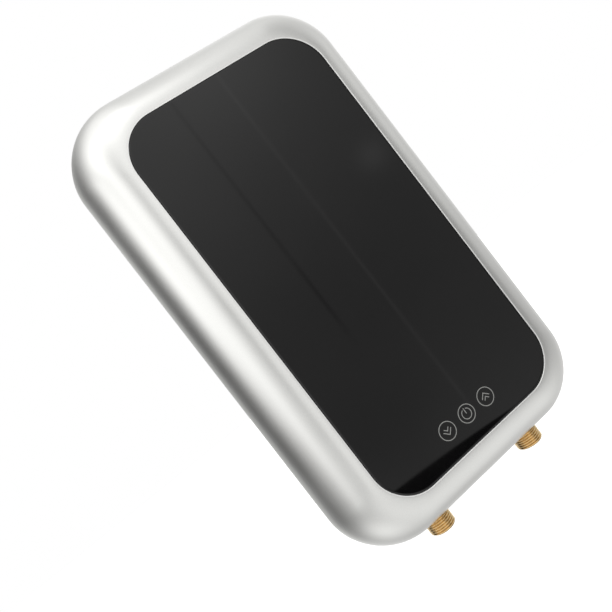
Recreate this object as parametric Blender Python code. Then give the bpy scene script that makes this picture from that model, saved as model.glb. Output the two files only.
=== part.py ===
"""Wall-hung instant water heater with a flush touch glass, built from its separate pieces.

Metres, +Z up. The front faces -Y and the wall is the plane Y = 0. The origin is the middle of the
wall bracket's rear face. Heights in this file are measured from the middle of the case, which lies
BRACKET_RISE below the origin, and every piece hangs from one empty there.
"""

import math

import bmesh
import bpy
from mathutils import Matrix, Vector

# The case: a thin shell whose sides roll round from the glass edge to the widest line.
SHELL_WIDTH = 0.222
SHELL_HEIGHT = 0.372
SHELL_CORNER = 0.047
SHELL_DEPTH = 0.048
SHELL_WALL = 0.0022
SHELL_LAND = 0.002
UNIT_DEPTH = 0.062

# The glass, set flush into the shell on a ledge.
GLASS_WIDTH = 0.160
GLASS_HEIGHT = 0.305
GLASS_CORNER = 0.030
GLASS_THICKNESS = 0.003
GLASS_DROP = 0.0015
GLASS_SINK = 0.0002
GLASS_GAP = 0.00035
LIP_CHAMFER = 0.0008
LEDGE_WIDTH = 0.005
LEDGE_THICKNESS = 0.002
ADHESIVE_THICKNESS = 0.0006

# The rear cover, a tray that reaches inside the shell.
TRAY_WALL = 0.0022
BACK_ROLL = 0.006
SHELF_RISE = 0.0026

# The wall bracket and the pocket that takes it.
BRACKET_RISE = 0.040
BRACKET_WIDTH = 0.130
BRACKET_HEIGHT = 0.038
BRACKET_CORNER = 0.006
SHEET_THICKNESS = 0.0015
POCKET_DEPTH = 0.0035
POCKET_CLEARANCE = 0.0015
HOOK_SPACING = 0.040
HOOK_WIDTH = 0.012
HOOK_REACH = 0.008
WALL_SCREW_SPACING = 0.096
WALL_SCREW_RADIUS = 0.0026

# The two water columns, cold on +X and hot on -X, and their G 1/2 connectors.
COLUMN_SPACING = 0.097
CONNECTOR_STANDOFF = 0.020
CONNECTOR_REACH = 0.011
THREAD_RADIUS = 0.0104775
CONNECTOR_BORE = 0.0075
COLLAR_FLATS = 0.024
COLLAR_HEIGHT = 0.006
NECK_RADIUS = 0.009
NECK_HEIGHT = 0.018
SOCKET_DEPTH = 0.010
METER_LENGTH = 0.056
METER_RADIUS = 0.011
METER_BORE = 0.0085
PIPE_RADIUS = 0.0075
PIPE_WALL = 0.0013
PIPE_SOCKET = 0.008

# The two heating chambers and what closes them.
CHAMBER_RADIUS = 0.018
CHAMBER_WALL = 0.0025
CHAMBER_STANDOFF = 0.0245
PIPE_RISE = 0.0124
HEAD_CLEARANCE = 0.074
CAP_WALL = 0.0032
CAP_LAP = 0.012
CAP_FLOOR = 0.008
SPIGOT_LENGTH = 0.018
ELEMENT_RADIUS = 0.0031
ELEMENT_WIND_RADIUS = 0.0105

# Straps that hold the chambers, and the circuit board between them.
STRAP_WIDTH = 0.012
STRAP_THICKNESS = 0.0012
STRAP_STANDOFF = 0.0125
STRAP_INSET = 0.030
BOARD_WIDTH = 0.052
BOARD_THICKNESS = 0.0016
BOARD_STANDOFF = 0.014
BOARD_CLEARANCE = 0.010

# The touch panel behind the glass.
TOUCH_INSET = 0.0199
TOUCH_PITCH = 0.01895
CARRIER_WIDTH = 0.104
CARRIER_HEIGHT = 0.064
CARRIER_MARGIN = 0.0129
CARRIER_WALL = 0.002
CARRIER_DEPTH = 0.0095

# The flow meter's turbine and the cut-out's reset button.
SHAFT_RADIUS = 0.001
RUNNING_GAP = 0.00008
BUTTON_RADIUS = 0.00175
BUTTON_GAP = 0.0001

# Screws.
SCREW_RADIUS = 0.0015
SCREW_HEAD_RADIUS = 0.0033
SCREW_HEAD_HEIGHT = 0.0022
COVER_SCREW_INSET = 0.018
COVER_SCREW_INSET_UP = 0.036
COVER_SCREW_LENGTH = 0.012
COVER_JOINT_DEPTH = 0.030

# Fits and finish of the meshes.
SEAT = 0.0003
OVERRUN = 0.002
MERGE = 0.000001
CORNER_STEPS = 7
SMALL_CORNER_STEPS = 3
OUTER_STEPS = 10
INNER_STEPS = 8
LAP_STEPS = 2
ROUND_STEPS = 18
HOLE_STEPS = 8
SHARP_ANGLE = math.radians(32)

# Places that several pieces share, worked out from the sizes above.
FRONT = -UNIT_DEPTH
SHELL_REAR = FRONT + SHELL_DEPTH
ROLL_DEPTH = SHELL_DEPTH - SHELL_LAND
SIDE_ROLL = (SHELL_WIDTH - GLASS_WIDTH) / 2
END_ROLL = (SHELL_HEIGHT - GLASS_HEIGHT) / 2
GLASS_BACK = FRONT + GLASS_SINK + GLASS_THICKNESS
LEDGE_FRONT = GLASS_BACK + 2 * SEAT + ADHESIVE_THICKNESS
TRAY_INSET = SHELL_WALL + SEAT
TRAY_FLOOR = -TRAY_WALL
CASE_BOTTOM = -SHELL_HEIGHT / 2
TRAY_BOTTOM_INNER = CASE_BOTTOM + TRAY_INSET + TRAY_WALL
POCKET_FLOOR = -(POCKET_DEPTH + TRAY_WALL)
COLUMN_X = COLUMN_SPACING / 2
CONNECTOR_Y = -CONNECTOR_STANDOFF
CHAMBER_Y = -CHAMBER_STANDOFF
SHELF_TOP = TRAY_BOTTOM_INNER + SHELF_RISE
COLLAR_BOTTOM = SHELF_TOP + SEAT
COLLAR_TOP = COLLAR_BOTTOM + COLLAR_HEIGHT
NECK_TOP = COLLAR_TOP + NECK_HEIGHT
METER_BOTTOM = NECK_TOP - SOCKET_DEPTH
METER_TOP = METER_BOTTOM + METER_LENGTH
METER_SHOULDER = METER_TOP - PIPE_SOCKET
SOCKET_RADIUS = NECK_RADIUS + 2 * SEAT
PIPE_BORE = PIPE_RADIUS - PIPE_WALL
SPIGOT_BOTTOM = METER_TOP + PIPE_RISE
CHAMBER_BOTTOM = SPIGOT_BOTTOM + SPIGOT_LENGTH
CHAMBER_TOP = SHELL_HEIGHT / 2 - HEAD_CLEARANCE
UPPER_STRAP_HEIGHT = CHAMBER_TOP - STRAP_INSET
LOWER_STRAP_HEIGHT = CHAMBER_BOTTOM + STRAP_INSET
BOARD_BOTTOM = LOWER_STRAP_HEIGHT + BOARD_CLEARANCE
BOARD_TOP = UPPER_STRAP_HEIGHT - BOARD_CLEARANCE
TOUCH_HEIGHT = TOUCH_INSET - GLASS_HEIGHT / 2 - GLASS_DROP
CARRIER_BOTTOM = TOUCH_HEIGHT - CARRIER_MARGIN
CARRIER_TOP = CARRIER_BOTTOM + CARRIER_HEIGHT
CAP_SOCKET = CHAMBER_RADIUS + SEAT
CAP_RADIUS = CAP_SOCKET + CAP_WALL
SCREW_HOLE = SCREW_RADIUS + SEAT
BUTTON_HOLE = BUTTON_RADIUS + BUTTON_GAP
SHAFT_HOLE = SHAFT_RADIUS + RUNNING_GAP

# Finishes: colour, roughness, metallic.
SATIN_SILVER = ((0.66, 0.66, 0.64), 0.34, 0.9)
BLACK_GLASS = ((0.012, 0.012, 0.013), 0.05, 0.0)
BLACK_FOAM = ((0.03, 0.03, 0.03), 0.8, 0.0)
BLACK_PLASTIC = ((0.025, 0.025, 0.027), 0.5, 0.0)
WHITE_PLASTIC = ((0.75, 0.74, 0.70), 0.45, 0.0)
GREY_PLASTIC = ((0.30, 0.31, 0.32), 0.5, 0.0)
BLUE_PLASTIC = ((0.05, 0.14, 0.38), 0.45, 0.0)
RED_PLASTIC = ((0.55, 0.04, 0.03), 0.4, 0.0)
ZINC_STEEL = ((0.55, 0.56, 0.56), 0.38, 1.0)
STAINLESS = ((0.62, 0.61, 0.59), 0.28, 1.0)
BRASS = ((0.72, 0.50, 0.22), 0.3, 1.0)
COPPER = ((0.72, 0.36, 0.22), 0.3, 1.0)
ALUMINIUM = ((0.68, 0.69, 0.70), 0.4, 1.0)
BLACK_RUBBER = ((0.02, 0.02, 0.02), 0.7, 0.0)
GREEN_BOARD = ((0.03, 0.19, 0.09), 0.45, 0.0)
FERRITE = ((0.07, 0.07, 0.075), 0.6, 0.0)

for leftover in list(bpy.data.objects):
    bpy.data.objects.remove(leftover, do_unlink=True)

CASE_CENTRE = bpy.data.objects.new("case_centre", None)
CASE_CENTRE.location = (0, 0, -BRACKET_RISE)
bpy.context.scene.collection.objects.link(CASE_CENTRE)


def make_finish(name, colour, roughness, metallic):
    """The piece's own surface material."""
    finish = bpy.data.materials.new(name)
    finish.use_nodes = True
    shader = finish.node_tree.nodes["Principled BSDF"]
    shader.inputs["Base Color"].default_value = (*colour, 1)
    shader.inputs["Roughness"].default_value = roughness
    shader.inputs["Metallic"].default_value = metallic
    return finish


def add_object(name, shape, place=(0, 0, 0), turn=(0, 0, 0)):
    """An object from a bmesh, placed from the middle of the case."""
    bmesh.ops.recalc_face_normals(shape, faces=shape.faces)
    mesh = bpy.data.meshes.new(name)
    shape.to_mesh(mesh)
    shape.free()
    mesh.shade_smooth()
    mesh.set_sharp_from_angle(angle=SHARP_ANGLE)
    added = bpy.data.objects.new(name, mesh)
    added.location = place
    added.rotation_euler = turn
    added.parent = CASE_CENTRE
    bpy.context.scene.collection.objects.link(added)
    return added


def add_piece(name, shape, finish, place=(0, 0, 0), turn=(0, 0, 0)):
    """A piece of the heater, with its finish."""
    piece = add_object(name, shape, place, turn)
    piece.data.materials.append(make_finish(name, *finish))
    return piece


def add_helper(name, shape, place=(0, 0, 0), turn=(0, 0, 0)):
    """A shape that only cuts or adds to a piece."""
    helper = add_object(name, shape, place, turn)
    helper.hide_render = True
    helper.display_type = "WIRE"
    return helper


def combine(piece, helper, operation):
    """Joins, cuts or trims a piece with a helper."""
    modifier = piece.modifiers.new(helper.name, "BOOLEAN")
    modifier.operation = operation
    modifier.solver = "EXACT"
    modifier.object = helper


def make_shade_nodes():
    """Keeps every edge sharper than SHARP_ANGLE crisp after a piece's cuts."""
    group = bpy.data.node_groups.new("shade_by_angle", "GeometryNodeTree")
    group.interface.new_socket("Geometry", in_out="INPUT", socket_type="NodeSocketGeometry")
    group.interface.new_socket("Geometry", in_out="OUTPUT", socket_type="NodeSocketGeometry")
    start = group.nodes.new("NodeGroupInput")
    end = group.nodes.new("NodeGroupOutput")
    angle = group.nodes.new("GeometryNodeInputMeshEdgeAngle")
    compare = group.nodes.new("FunctionNodeCompare")
    compare.operation = "LESS_EQUAL"
    compare.inputs[1].default_value = SHARP_ANGLE
    shade = group.nodes.new("GeometryNodeSetShadeSmooth")
    shade.domain = "EDGE"
    group.links.new(start.outputs[0], shade.inputs["Geometry"])
    group.links.new(angle.outputs["Unsigned Angle"], compare.inputs[0])
    group.links.new(compare.outputs[0], shade.inputs["Shade Smooth"])
    group.links.new(shade.outputs[0], end.inputs[0])
    return group


def finish_shading():
    """Shades every piece that has cuts or joins once they are made."""
    group = make_shade_nodes()
    for piece in bpy.data.objects:
        if piece.modifiers and not piece.hide_render:
            modifier = piece.modifiers.new("shading", "NODES")
            modifier.node_group = group


FACING_FRONT = (math.pi / 2, 0, 0)
FACING_WALL = (-math.pi / 2, 0, 0)


def add_loft(shape, rings, closed=False):
    """Faces from each ring of points to the next, with flat ends unless the rings close up."""
    loops = [[shape.verts.new(point) for point in ring] for ring in rings]
    following = loops[1:] + loops[:1] if closed else loops[1:]
    for near, far in zip(loops, following):
        for index, corner in enumerate(near):
            after = (index + 1) % len(near)
            shape.faces.new((corner, near[after], far[after], far[index]))
    if not closed:
        shape.faces.new(loops[0])
        shape.faces.new(loops[-1])


def loft(rings, closed=False):
    shape = bmesh.new()
    add_loft(shape, rings, closed)
    return shape


def rounded_ring(half_width, half_height, corner, y, centre=(0, 0), steps=CORNER_STEPS):
    """Points of a rectangle with arc corners in the plane Y = y; centre is its X and Z."""
    points = []
    for quarter, (side, end) in enumerate(((1, 1), (-1, 1), (-1, -1), (1, -1))):
        for step in range(steps + 1):
            angle = (quarter + step / steps) * math.pi / 2
            x = centre[0] + side * (half_width - corner) + corner * math.cos(angle)
            z = centre[1] + end * (half_height - corner) + corner * math.sin(angle)
            points.append(Vector((x, y, z)))
    return points


def add_extrusion(shape, outline, axis, start, end):
    """A flat outline carried along an axis. The outline's two values are the other two axes in order."""
    index = "XYZ".index(axis)

    def point(pair, along):
        values = list(pair)
        values.insert(index, along)
        return Vector(values)

    add_loft(shape, [[point(pair, along) for pair in outline] for along in (start, end)])


def extrusion(outline, axis, start, end):
    shape = bmesh.new()
    add_extrusion(shape, outline, axis, start, end)
    return shape


def add_block(shape, low, high):
    """A box between two corners."""
    outline = [(low[0], low[1]), (high[0], low[1]), (high[0], high[1]), (low[0], high[1])]
    add_extrusion(shape, outline, "Z", low[2], high[2])


def block(low, high, bevel=0):
    shape = bmesh.new()
    add_block(shape, low, high)
    if bevel:
        bmesh.ops.bevel(shape, geom=shape.edges[:], offset=bevel, segments=1, affect="EDGES")
    return shape


def circle(radius, steps=ROUND_STEPS, centre=(0, 0), start=0, turn=2 * math.pi):
    """Points on an arc; a whole circle leaves out its repeated last point."""
    whole = abs(turn) >= 2 * math.pi
    return [
        (
            centre[0] + radius * math.cos(start + turn * step / steps),
            centre[1] + radius * math.sin(start + turn * step / steps),
        )
        for step in range(steps if whole else steps + 1)
    ]


def turned(profile, steps=ROUND_STEPS):
    """A profile of radius and height spun about Z. It closes on itself unless it starts on the axis."""
    shape = bmesh.new()
    points = [shape.verts.new((radius, 0, height)) for radius, height in profile]
    pairs = list(zip(points, points[1:]))
    if profile[0][0] > 0:
        pairs.append((points[-1], points[0]))
    edges = [shape.edges.new(pair) for pair in pairs]
    bmesh.ops.spin(
        shape,
        geom=points + edges,
        cent=(0, 0, 0),
        axis=(0, 0, 1),
        angle=2 * math.pi,
        steps=steps,
        use_merge=True,
    )
    bmesh.ops.remove_doubles(shape, verts=shape.verts[:], dist=MERGE)
    return shape


def rod(radius, low, high, steps=ROUND_STEPS):
    """A plain cylinder along Z."""
    return turned([(0, low), (radius, low), (radius, high), (0, high)], steps)


def tube_rings(path, radius, sides):
    """Rings of points round a path, turned as little as possible from one to the next."""
    rings = []
    across = None
    for index, point in enumerate(path):
        ahead = path[min(index + 1, len(path) - 1)]
        behind = path[max(index - 1, 0)]
        along = (ahead - behind).normalized()
        if across is None:
            across = along.orthogonal().normalized()
        across = (across - along * across.dot(along)).normalized()
        third = along.cross(across)
        rings.append([point + across * x + third * y for x, y in circle(radius, sides)])
    return rings


def smooth_path(points, steps):
    """A curve through the given points, the ends included."""
    places = [Vector(point) for point in points]
    places = [2 * places[0] - places[1]] + places + [2 * places[-1] - places[-2]]
    path = []
    for index in range(1, len(places) - 2):
        before, start, end, after = places[index - 1 : index + 3]
        for step in range(steps):
            t = step / steps
            bend = (2 * before - 5 * start + 4 * end - after) * t * t
            swing = (3 * start - before - 3 * end + after) * t * t * t
            path.append((2 * start + (end - before) * t + bend + swing) / 2)
    return path + [places[-2]]


def shell_ring(turn, inset, depth):
    """A ring of the shell where its section has rolled by an angle, 0 at the glass and 90 degrees at the side."""
    spread = math.sin(turn)
    return rounded_ring(
        GLASS_WIDTH / 2 + spread * SIDE_ROLL - inset,
        GLASS_HEIGHT / 2 + spread * END_ROLL - inset,
        GLASS_CORNER + spread * (SHELL_CORNER - GLASS_CORNER) - inset,
        FRONT + depth,
        (0, -GLASS_DROP * (1 - spread)),
    )


def roll_ring(turn, wall):
    """The rolled surface, or the one that lies a wall behind it."""
    inward = Vector((ROLL_DEPTH * math.sin(turn), SIDE_ROLL * math.cos(turn))).normalized()
    depth = ROLL_DEPTH * (1 - math.cos(turn)) + wall * inward.y
    return shell_ring(turn, wall * inward.x, depth)


def roll_turns(first, steps):
    return [first + (math.pi / 2 - first) * step / steps for step in range(steps + 1)]


def inner_turns():
    """Where the shell's inside has its rings, from the widest line to the glass; the tray's rim shares the first."""
    return roll_turns(math.asin((GLASS_GAP + LIP_CHAMFER) / SIDE_ROLL), INNER_STEPS)[::-1]


COVER_SCREW_PLACES = [
    (side * (SHELL_WIDTH / 2 - COVER_SCREW_INSET), end * (SHELL_HEIGHT / 2 - COVER_SCREW_INSET_UP))
    for end in (1, -1)
    for side in (-1, 1)
]


def make_shell_bosses():
    """Four screw bosses, trimmed to end inside the rolled wall."""
    radius = 0.0042
    bosses = bmesh.new()
    for centre in COVER_SCREW_PLACES:
        add_extrusion(bosses, circle(radius, 14, centre), "Y", FRONT, -COVER_JOINT_DEPTH)
    bosses = add_helper("shell_bosses", bosses)
    root = SHELL_WALL / 4
    inside_wall = [roll_ring(turn, root) for turn in roll_turns(0, OUTER_STEPS)]
    inside_wall.append(shell_ring(math.pi / 2, root, SHELL_DEPTH + OVERRUN))
    combine(bosses, add_helper("boss_trim", loft(inside_wall)), "INTERSECT")
    return bosses


def connector_notch(centre, radius):
    """A U that opens towards the wall, as seen from below."""
    arc = circle(radius, 10, (centre, CONNECTOR_Y), math.pi, math.pi)
    return arc + [(centre + radius, SHELL_REAR + OVERRUN), (centre - radius, SHELL_REAR + OVERRUN)]


def make_front_shell():
    """The one-piece front: chamfered lip, rolled sides, glass ledge, bosses and bottom notches."""
    lip_turn = math.asin((GLASS_GAP + LIP_CHAMFER) / SIDE_ROLL)
    ledge_front = LEDGE_FRONT - FRONT
    ledge_rear = ledge_front + LEDGE_THICKNESS
    outer = [roll_ring(turn, 0) for turn in roll_turns(lip_turn, OUTER_STEPS)]
    inner = [turn for turn in inner_turns() if roll_ring(turn, SHELL_WALL)[0].y > FRONT + ledge_rear + SEAT]
    rings = [
        shell_ring(0, LEDGE_WIDTH, ledge_front),
        shell_ring(0, -GLASS_GAP, ledge_front),
        shell_ring(0, -GLASS_GAP, LIP_CHAMFER),
        *outer,
        shell_ring(math.pi / 2, 0, SHELL_DEPTH),
        shell_ring(math.pi / 2, SHELL_WALL, SHELL_DEPTH),
        *(roll_ring(turn, SHELL_WALL) for turn in inner),
        shell_ring(inner[-1], SHELL_WALL, ledge_rear),
        shell_ring(0, LEDGE_WIDTH, ledge_rear),
    ]
    shell = add_piece("front_shell", loft(rings, closed=True), SATIN_SILVER)
    combine(shell, make_shell_bosses(), "UNION")
    cuts = bmesh.new()
    for centre in COVER_SCREW_PLACES:
        boss_bottom = -COVER_JOINT_DEPTH - COVER_SCREW_LENGTH
        outline = circle(SCREW_HOLE, HOLE_STEPS, centre)
        add_extrusion(cuts, outline, "Y", boss_bottom, OVERRUN - COVER_JOINT_DEPTH)
    notch_radius = THREAD_RADIUS + 2 * SEAT
    for centre in (-COLUMN_X, 0, COLUMN_X):
        outline = connector_notch(centre, notch_radius)
        add_extrusion(cuts, outline, "Z", CASE_BOTTOM - OVERRUN, SHELF_TOP)
    combine(shell, add_helper("shell_cuts", cuts), "DIFFERENCE")


def glass_ring(inset, y):
    return rounded_ring(
        GLASS_WIDTH / 2 - inset,
        GLASS_HEIGHT / 2 - inset,
        GLASS_CORNER - inset,
        y,
        (0, -GLASS_DROP),
    )


def make_glass():
    """The glass with its ground edges, and the adhesive frame between it and the ledge."""
    arris = 0.0003
    front = FRONT + GLASS_SINK
    rings = [
        glass_ring(arris, front),
        glass_ring(0, front + arris),
        glass_ring(0, GLASS_BACK - arris),
        glass_ring(arris, GLASS_BACK),
    ]
    add_piece("glass_panel", loft(rings), BLACK_GLASS)
    frame_edge = 0.0005
    near = GLASS_BACK + SEAT
    far = near + ADHESIVE_THICKNESS
    frame = [
        glass_ring(frame_edge, near),
        glass_ring(frame_edge, far),
        glass_ring(LEDGE_WIDTH - frame_edge, far),
        glass_ring(LEDGE_WIDTH - frame_edge, near),
    ]
    add_piece("glass_adhesive", loft(frame, closed=True), BLACK_FOAM)


def tray_ring(inset, y):
    return rounded_ring(SHELL_WIDTH / 2 - inset, SHELL_HEIGHT / 2 - inset, SHELL_CORNER - inset, y)


def tray_stations():
    """Pairs of outer and inner rings, from the rim along the lap and round the back edge to the floor."""
    stations = [
        (roll_ring(turn, TRAY_INSET), roll_ring(turn, TRAY_INSET + TRAY_WALL))
        for turn in inner_turns()[LAP_STEPS::-1]
    ]
    steps = 5
    for step in range(steps + 1):
        turn = math.pi / 2 * step / steps
        inset = TRAY_INSET + BACK_ROLL * (1 - math.cos(turn))
        outer = tray_ring(inset, SHELL_REAR * (1 - math.sin(turn)))
        inner = tray_ring(inset + TRAY_WALL, SHELL_REAR - (SHELL_REAR + TRAY_WALL) * math.sin(turn))
        stations.append((outer, inner))
    return stations


def tray_shelf():
    """The thick flat shelf over the bottom wall, on which the connectors' collars sit."""
    half = COLUMN_X + 2 * NECK_RADIUS
    section = []
    for outer, inner in tray_stations():
        y = (outer[0].y + inner[0].y) / 2
        z = (min(point.z for point in outer) + min(point.z for point in inner)) / 2
        if z < SHELF_TOP - SHELF_RISE / 2:
            section.append((y, z))
    section += [(section[-1][0], SHELF_TOP), (section[0][0], SHELF_TOP)]
    return extrusion(section, "X", -half, half)


BRACKET_POCKET_TOP = BRACKET_RISE + BRACKET_HEIGHT / 2 + POCKET_CLEARANCE
BRACKET_POCKET_BOTTOM = BRACKET_RISE - BRACKET_HEIGHT / 2 - POCKET_CLEARANCE - HOOK_REACH
PEG_RADIUS = 0.0012
PEG_HEIGHT = 0.0025
POST_RADIUS = 0.004
BOARD_PEG_X = BOARD_WIDTH / 2 - POST_RADIUS - SEAT
STRAP_FOOT_X = COLUMN_X + CAP_SOCKET + STRAP_THICKNESS + POST_RADIUS + SEAT
CLAMP_FLANGE_REAR = -0.0083
CLAMP_SCREW_Z = COLLAR_TOP + SEAT + SHEET_THICKNESS + POST_RADIUS + SCREW_HEAD_RADIUS


def pocket_ring(clearance, y):
    height = BRACKET_POCKET_TOP - BRACKET_POCKET_BOTTOM
    return rounded_ring(
        BRACKET_WIDTH / 2 + POCKET_CLEARANCE + clearance,
        height / 2 + clearance,
        BRACKET_CORNER + POCKET_CLEARANCE + clearance,
        y,
        (0, (BRACKET_POCKET_TOP + BRACKET_POCKET_BOTTOM) / 2),
        SMALL_CORNER_STEPS,
    )


def add_post(shape, centre, radius, height):
    """A round post that stands on the tray's floor."""
    add_extrusion(shape, circle(radius, 10, centre), "Y", -height, TRAY_FLOOR + TRAY_WALL / 2)


def add_pegged_post(shape, centre, radius, height):
    """A post with a thinner peg on its end, for a hole in the piece that it carries."""
    rings = [
        [Vector((x, y, z)) for x, z in circle(size, HOLE_STEPS, centre)]
        for size, y in (
            (radius, TRAY_FLOOR + TRAY_WALL / 2),
            (radius, -height),
            (PEG_RADIUS, -height),
            (PEG_RADIUS, -height - PEG_HEIGHT),
        )
    ]
    add_loft(shape, rings)


def board_peg_places():
    edge = POST_RADIUS + SEAT
    return [(side * BOARD_PEG_X, end) for side in (-1, 1) for end in (BOARD_BOTTOM + edge, BOARD_TOP - edge)]


def tray_posts():
    """Everything that stands on the inside of the tray's floor."""
    posts = bmesh.new()
    add_loft(posts, [pocket_ring(TRAY_WALL, TRAY_FLOOR + TRAY_WALL / 2), pocket_ring(TRAY_WALL, POCKET_FLOOR)])
    cover_post_radius = 0.0048
    for centre in COVER_SCREW_PLACES:
        add_post(posts, centre, cover_post_radius, COVER_JOINT_DEPTH - SEAT)
    for centre in board_peg_places():
        add_pegged_post(posts, centre, POST_RADIUS - SEAT, BOARD_STANDOFF - SEAT)
    cradle_half = CHAMBER_RADIUS * 0.6
    cradle_height = STRAP_STANDOFF
    for height in (UPPER_STRAP_HEIGHT, LOWER_STRAP_HEIGHT):
        low = height - STRAP_WIDTH / 2
        high = height + STRAP_WIDTH / 2
        for side in (-1, 1):
            centre = side * COLUMN_X
            near = (centre - cradle_half, -cradle_height, low)
            add_block(posts, near, (centre + cradle_half, TRAY_FLOOR + TRAY_WALL / 2, high))
            add_pegged_post(posts, (side * STRAP_FOOT_X, height), POST_RADIUS, STRAP_STANDOFF - SEAT)
        add_post(posts, (0, height), POST_RADIUS, STRAP_STANDOFF - SEAT)
    add_post(posts, (0, CLAMP_SCREW_Z), POST_RADIUS, -CLAMP_FLANGE_REAR - SEAT)
    return posts


def hook_slot_height():
    """Top and bottom of the slots that the bracket's hooks pass through."""
    top = BRACKET_RISE + SEAT
    return top, BRACKET_RISE - SHEET_THICKNESS - HOOK_REACH - POCKET_CLEARANCE


def tray_cuts():
    """Holes and recesses of the rear cover that don't meet one another."""
    cuts = bmesh.new()
    add_loft(cuts, [pocket_ring(0, OVERRUN), pocket_ring(0, -POCKET_DEPTH)])
    head_room = SCREW_HEAD_RADIUS + SEAT
    seat_depth = COVER_JOINT_DEPTH - SEAT - SCREW_HEAD_HEIGHT
    for centre in COVER_SCREW_PLACES:
        wide = [Vector((x, 0, z)) for x, z in circle(head_room, 10, centre)]
        narrow = [Vector((x, 0, z)) for x, z in circle(SCREW_HOLE, 10, centre)]
        rings = [
            [point + Vector((0, OVERRUN, 0)) for point in wide],
            [point - Vector((0, seat_depth, 0)) for point in wide],
            [point - Vector((0, seat_depth, 0)) for point in narrow],
            [point - Vector((0, COVER_JOINT_DEPTH + OVERRUN, 0)) for point in narrow],
        ]
        add_loft(cuts, rings)
    bottom = CASE_BOTTOM - OVERRUN
    top = SHELF_TOP + OVERRUN
    for centre, radius in ((-COLUMN_X, THREAD_RADIUS), (0, GROMMET_NECK), (COLUMN_X, THREAD_RADIUS)):
        add_extrusion(cuts, circle(radius + SEAT, centre=(centre, CONNECTOR_Y)), "Z", bottom, top)
    for height in (UPPER_STRAP_HEIGHT, LOWER_STRAP_HEIGHT):
        low = height - STRAP_WIDTH / 2 - SEAT
        high = height + STRAP_WIDTH / 2 + SEAT
        for side in (-1, 1):
            outline = circle(CAP_SOCKET, centre=(side * COLUMN_X, CHAMBER_Y))
            add_extrusion(cuts, outline, "Z", low, high)
        add_extrusion(cuts, circle(SCREW_HOLE, HOLE_STEPS, (0, height)), "Y", -STRAP_STANDOFF - OVERRUN, TRAY_FLOOR)
    outline = circle(SCREW_HOLE, HOLE_STEPS, (0, CLAMP_SCREW_Z))
    add_extrusion(cuts, outline, "Y", CLAMP_FLANGE_REAR - OVERRUN, TRAY_FLOOR)
    return cuts


GROMMET_NECK = 0.0077


def make_rear_cover():
    """The moulded tray: bracket pocket, screw posts, chamber cradles and the holes in its bottom."""
    stations = tray_stations()
    rings = [outer for outer, _ in reversed(stations)] + [inner for _, inner in stations]
    cover = add_piece("rear_cover", loft(rings), BLACK_PLASTIC)
    combine(cover, add_helper("tray_shelf", tray_shelf()), "UNION")
    combine(cover, add_helper("tray_posts", tray_posts()), "UNION")
    combine(cover, add_helper("tray_cuts", tray_cuts()), "DIFFERENCE")
    slots = bmesh.new()
    top, bottom = hook_slot_height()
    half = HOOK_WIDTH / 2 + SEAT
    for side in (-1, 1):
        centre = side * HOOK_SPACING / 2
        low = (centre - half, POCKET_FLOOR - OVERRUN, bottom)
        add_block(slots, low, (centre + half, OVERRUN, top))
    combine(cover, add_helper("hook_slots", slots), "DIFFERENCE")


def make_wall_bracket():
    """The steel plate that is screwed to the wall, with two turned-up hooks."""
    centre = (0, BRACKET_RISE)
    half = (BRACKET_WIDTH / 2, BRACKET_HEIGHT / 2)
    rings = [
        rounded_ring(*half, BRACKET_CORNER, y, centre, SMALL_CORNER_STEPS) for y in (0, -SHEET_THICKNESS)
    ]
    bracket = add_piece("wall_bracket", loft(rings), ZINC_STEEL)
    leg_rear = POCKET_FLOOR - SEAT
    leg_front = leg_rear - SHEET_THICKNESS
    top = BRACKET_RISE
    arm_bottom = top - SHEET_THICKNESS
    outline = [
        (-SHEET_THICKNESS / 2, top),
        (leg_rear, top),
        (leg_rear, top + HOOK_REACH),
        (leg_front, top + HOOK_REACH),
        (leg_front, arm_bottom),
        (-SHEET_THICKNESS / 2, arm_bottom),
    ]
    hooks = bmesh.new()
    for side in (-1, 1):
        middle = side * HOOK_SPACING / 2
        add_extrusion(hooks, outline, "X", middle - HOOK_WIDTH / 2, middle + HOOK_WIDTH / 2)
    combine(bracket, add_helper("bracket_hooks", hooks), "UNION")
    holes = bmesh.new()
    for side in (-1, 1):
        middle = (side * WALL_SCREW_SPACING / 2, BRACKET_RISE)
        sink = WALL_SCREW_RADIUS + SHEET_THICKNESS
        rings = [
            [Vector((x, y, z)) for x, z in circle(radius, 14, middle)]
            for radius, y in (
                (WALL_SCREW_RADIUS, OVERRUN),
                (WALL_SCREW_RADIUS, 0),
                (sink, -SHEET_THICKNESS),
                (sink, -SHEET_THICKNESS - OVERRUN),
            )
        ]
        add_loft(holes, rings)
    combine(bracket, add_helper("bracket_holes", holes), "DIFFERENCE")


def make_grommet():
    """The rubber bush of the supply cable's hole, in the middle of the bottom, domed outside."""
    bore = 0.0045
    mouth = 0.0055
    dome = 0.0014
    outer_flange = THREAD_RADIUS
    inner_flange = 0.0095
    inner_thickness = 0.0024
    low = CASE_BOTTOM
    wall_low = CASE_BOTTOM + TRAY_INSET - SEAT
    wall_high = SHELF_TOP + SEAT
    high = wall_high + inner_thickness
    profile = [
        (bore, low),
        (mouth, low),
        (outer_flange, low + dome),
        (outer_flange, wall_low),
        (GROMMET_NECK, wall_low),
        (GROMMET_NECK, wall_high),
        (inner_flange, wall_high),
        (inner_flange, high),
        (bore, high),
    ]
    add_piece("cable_grommet", turned(profile), BLACK_RUBBER, (0, CONNECTOR_Y, 0))


SEAL_WIRE = 0.0011
SEAL_GROOVE = SOCKET_RADIUS - SEAL_WIRE - 2 * SEAT
SEAL_HEIGHT = NECK_TOP - SOCKET_DEPTH / 2


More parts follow.
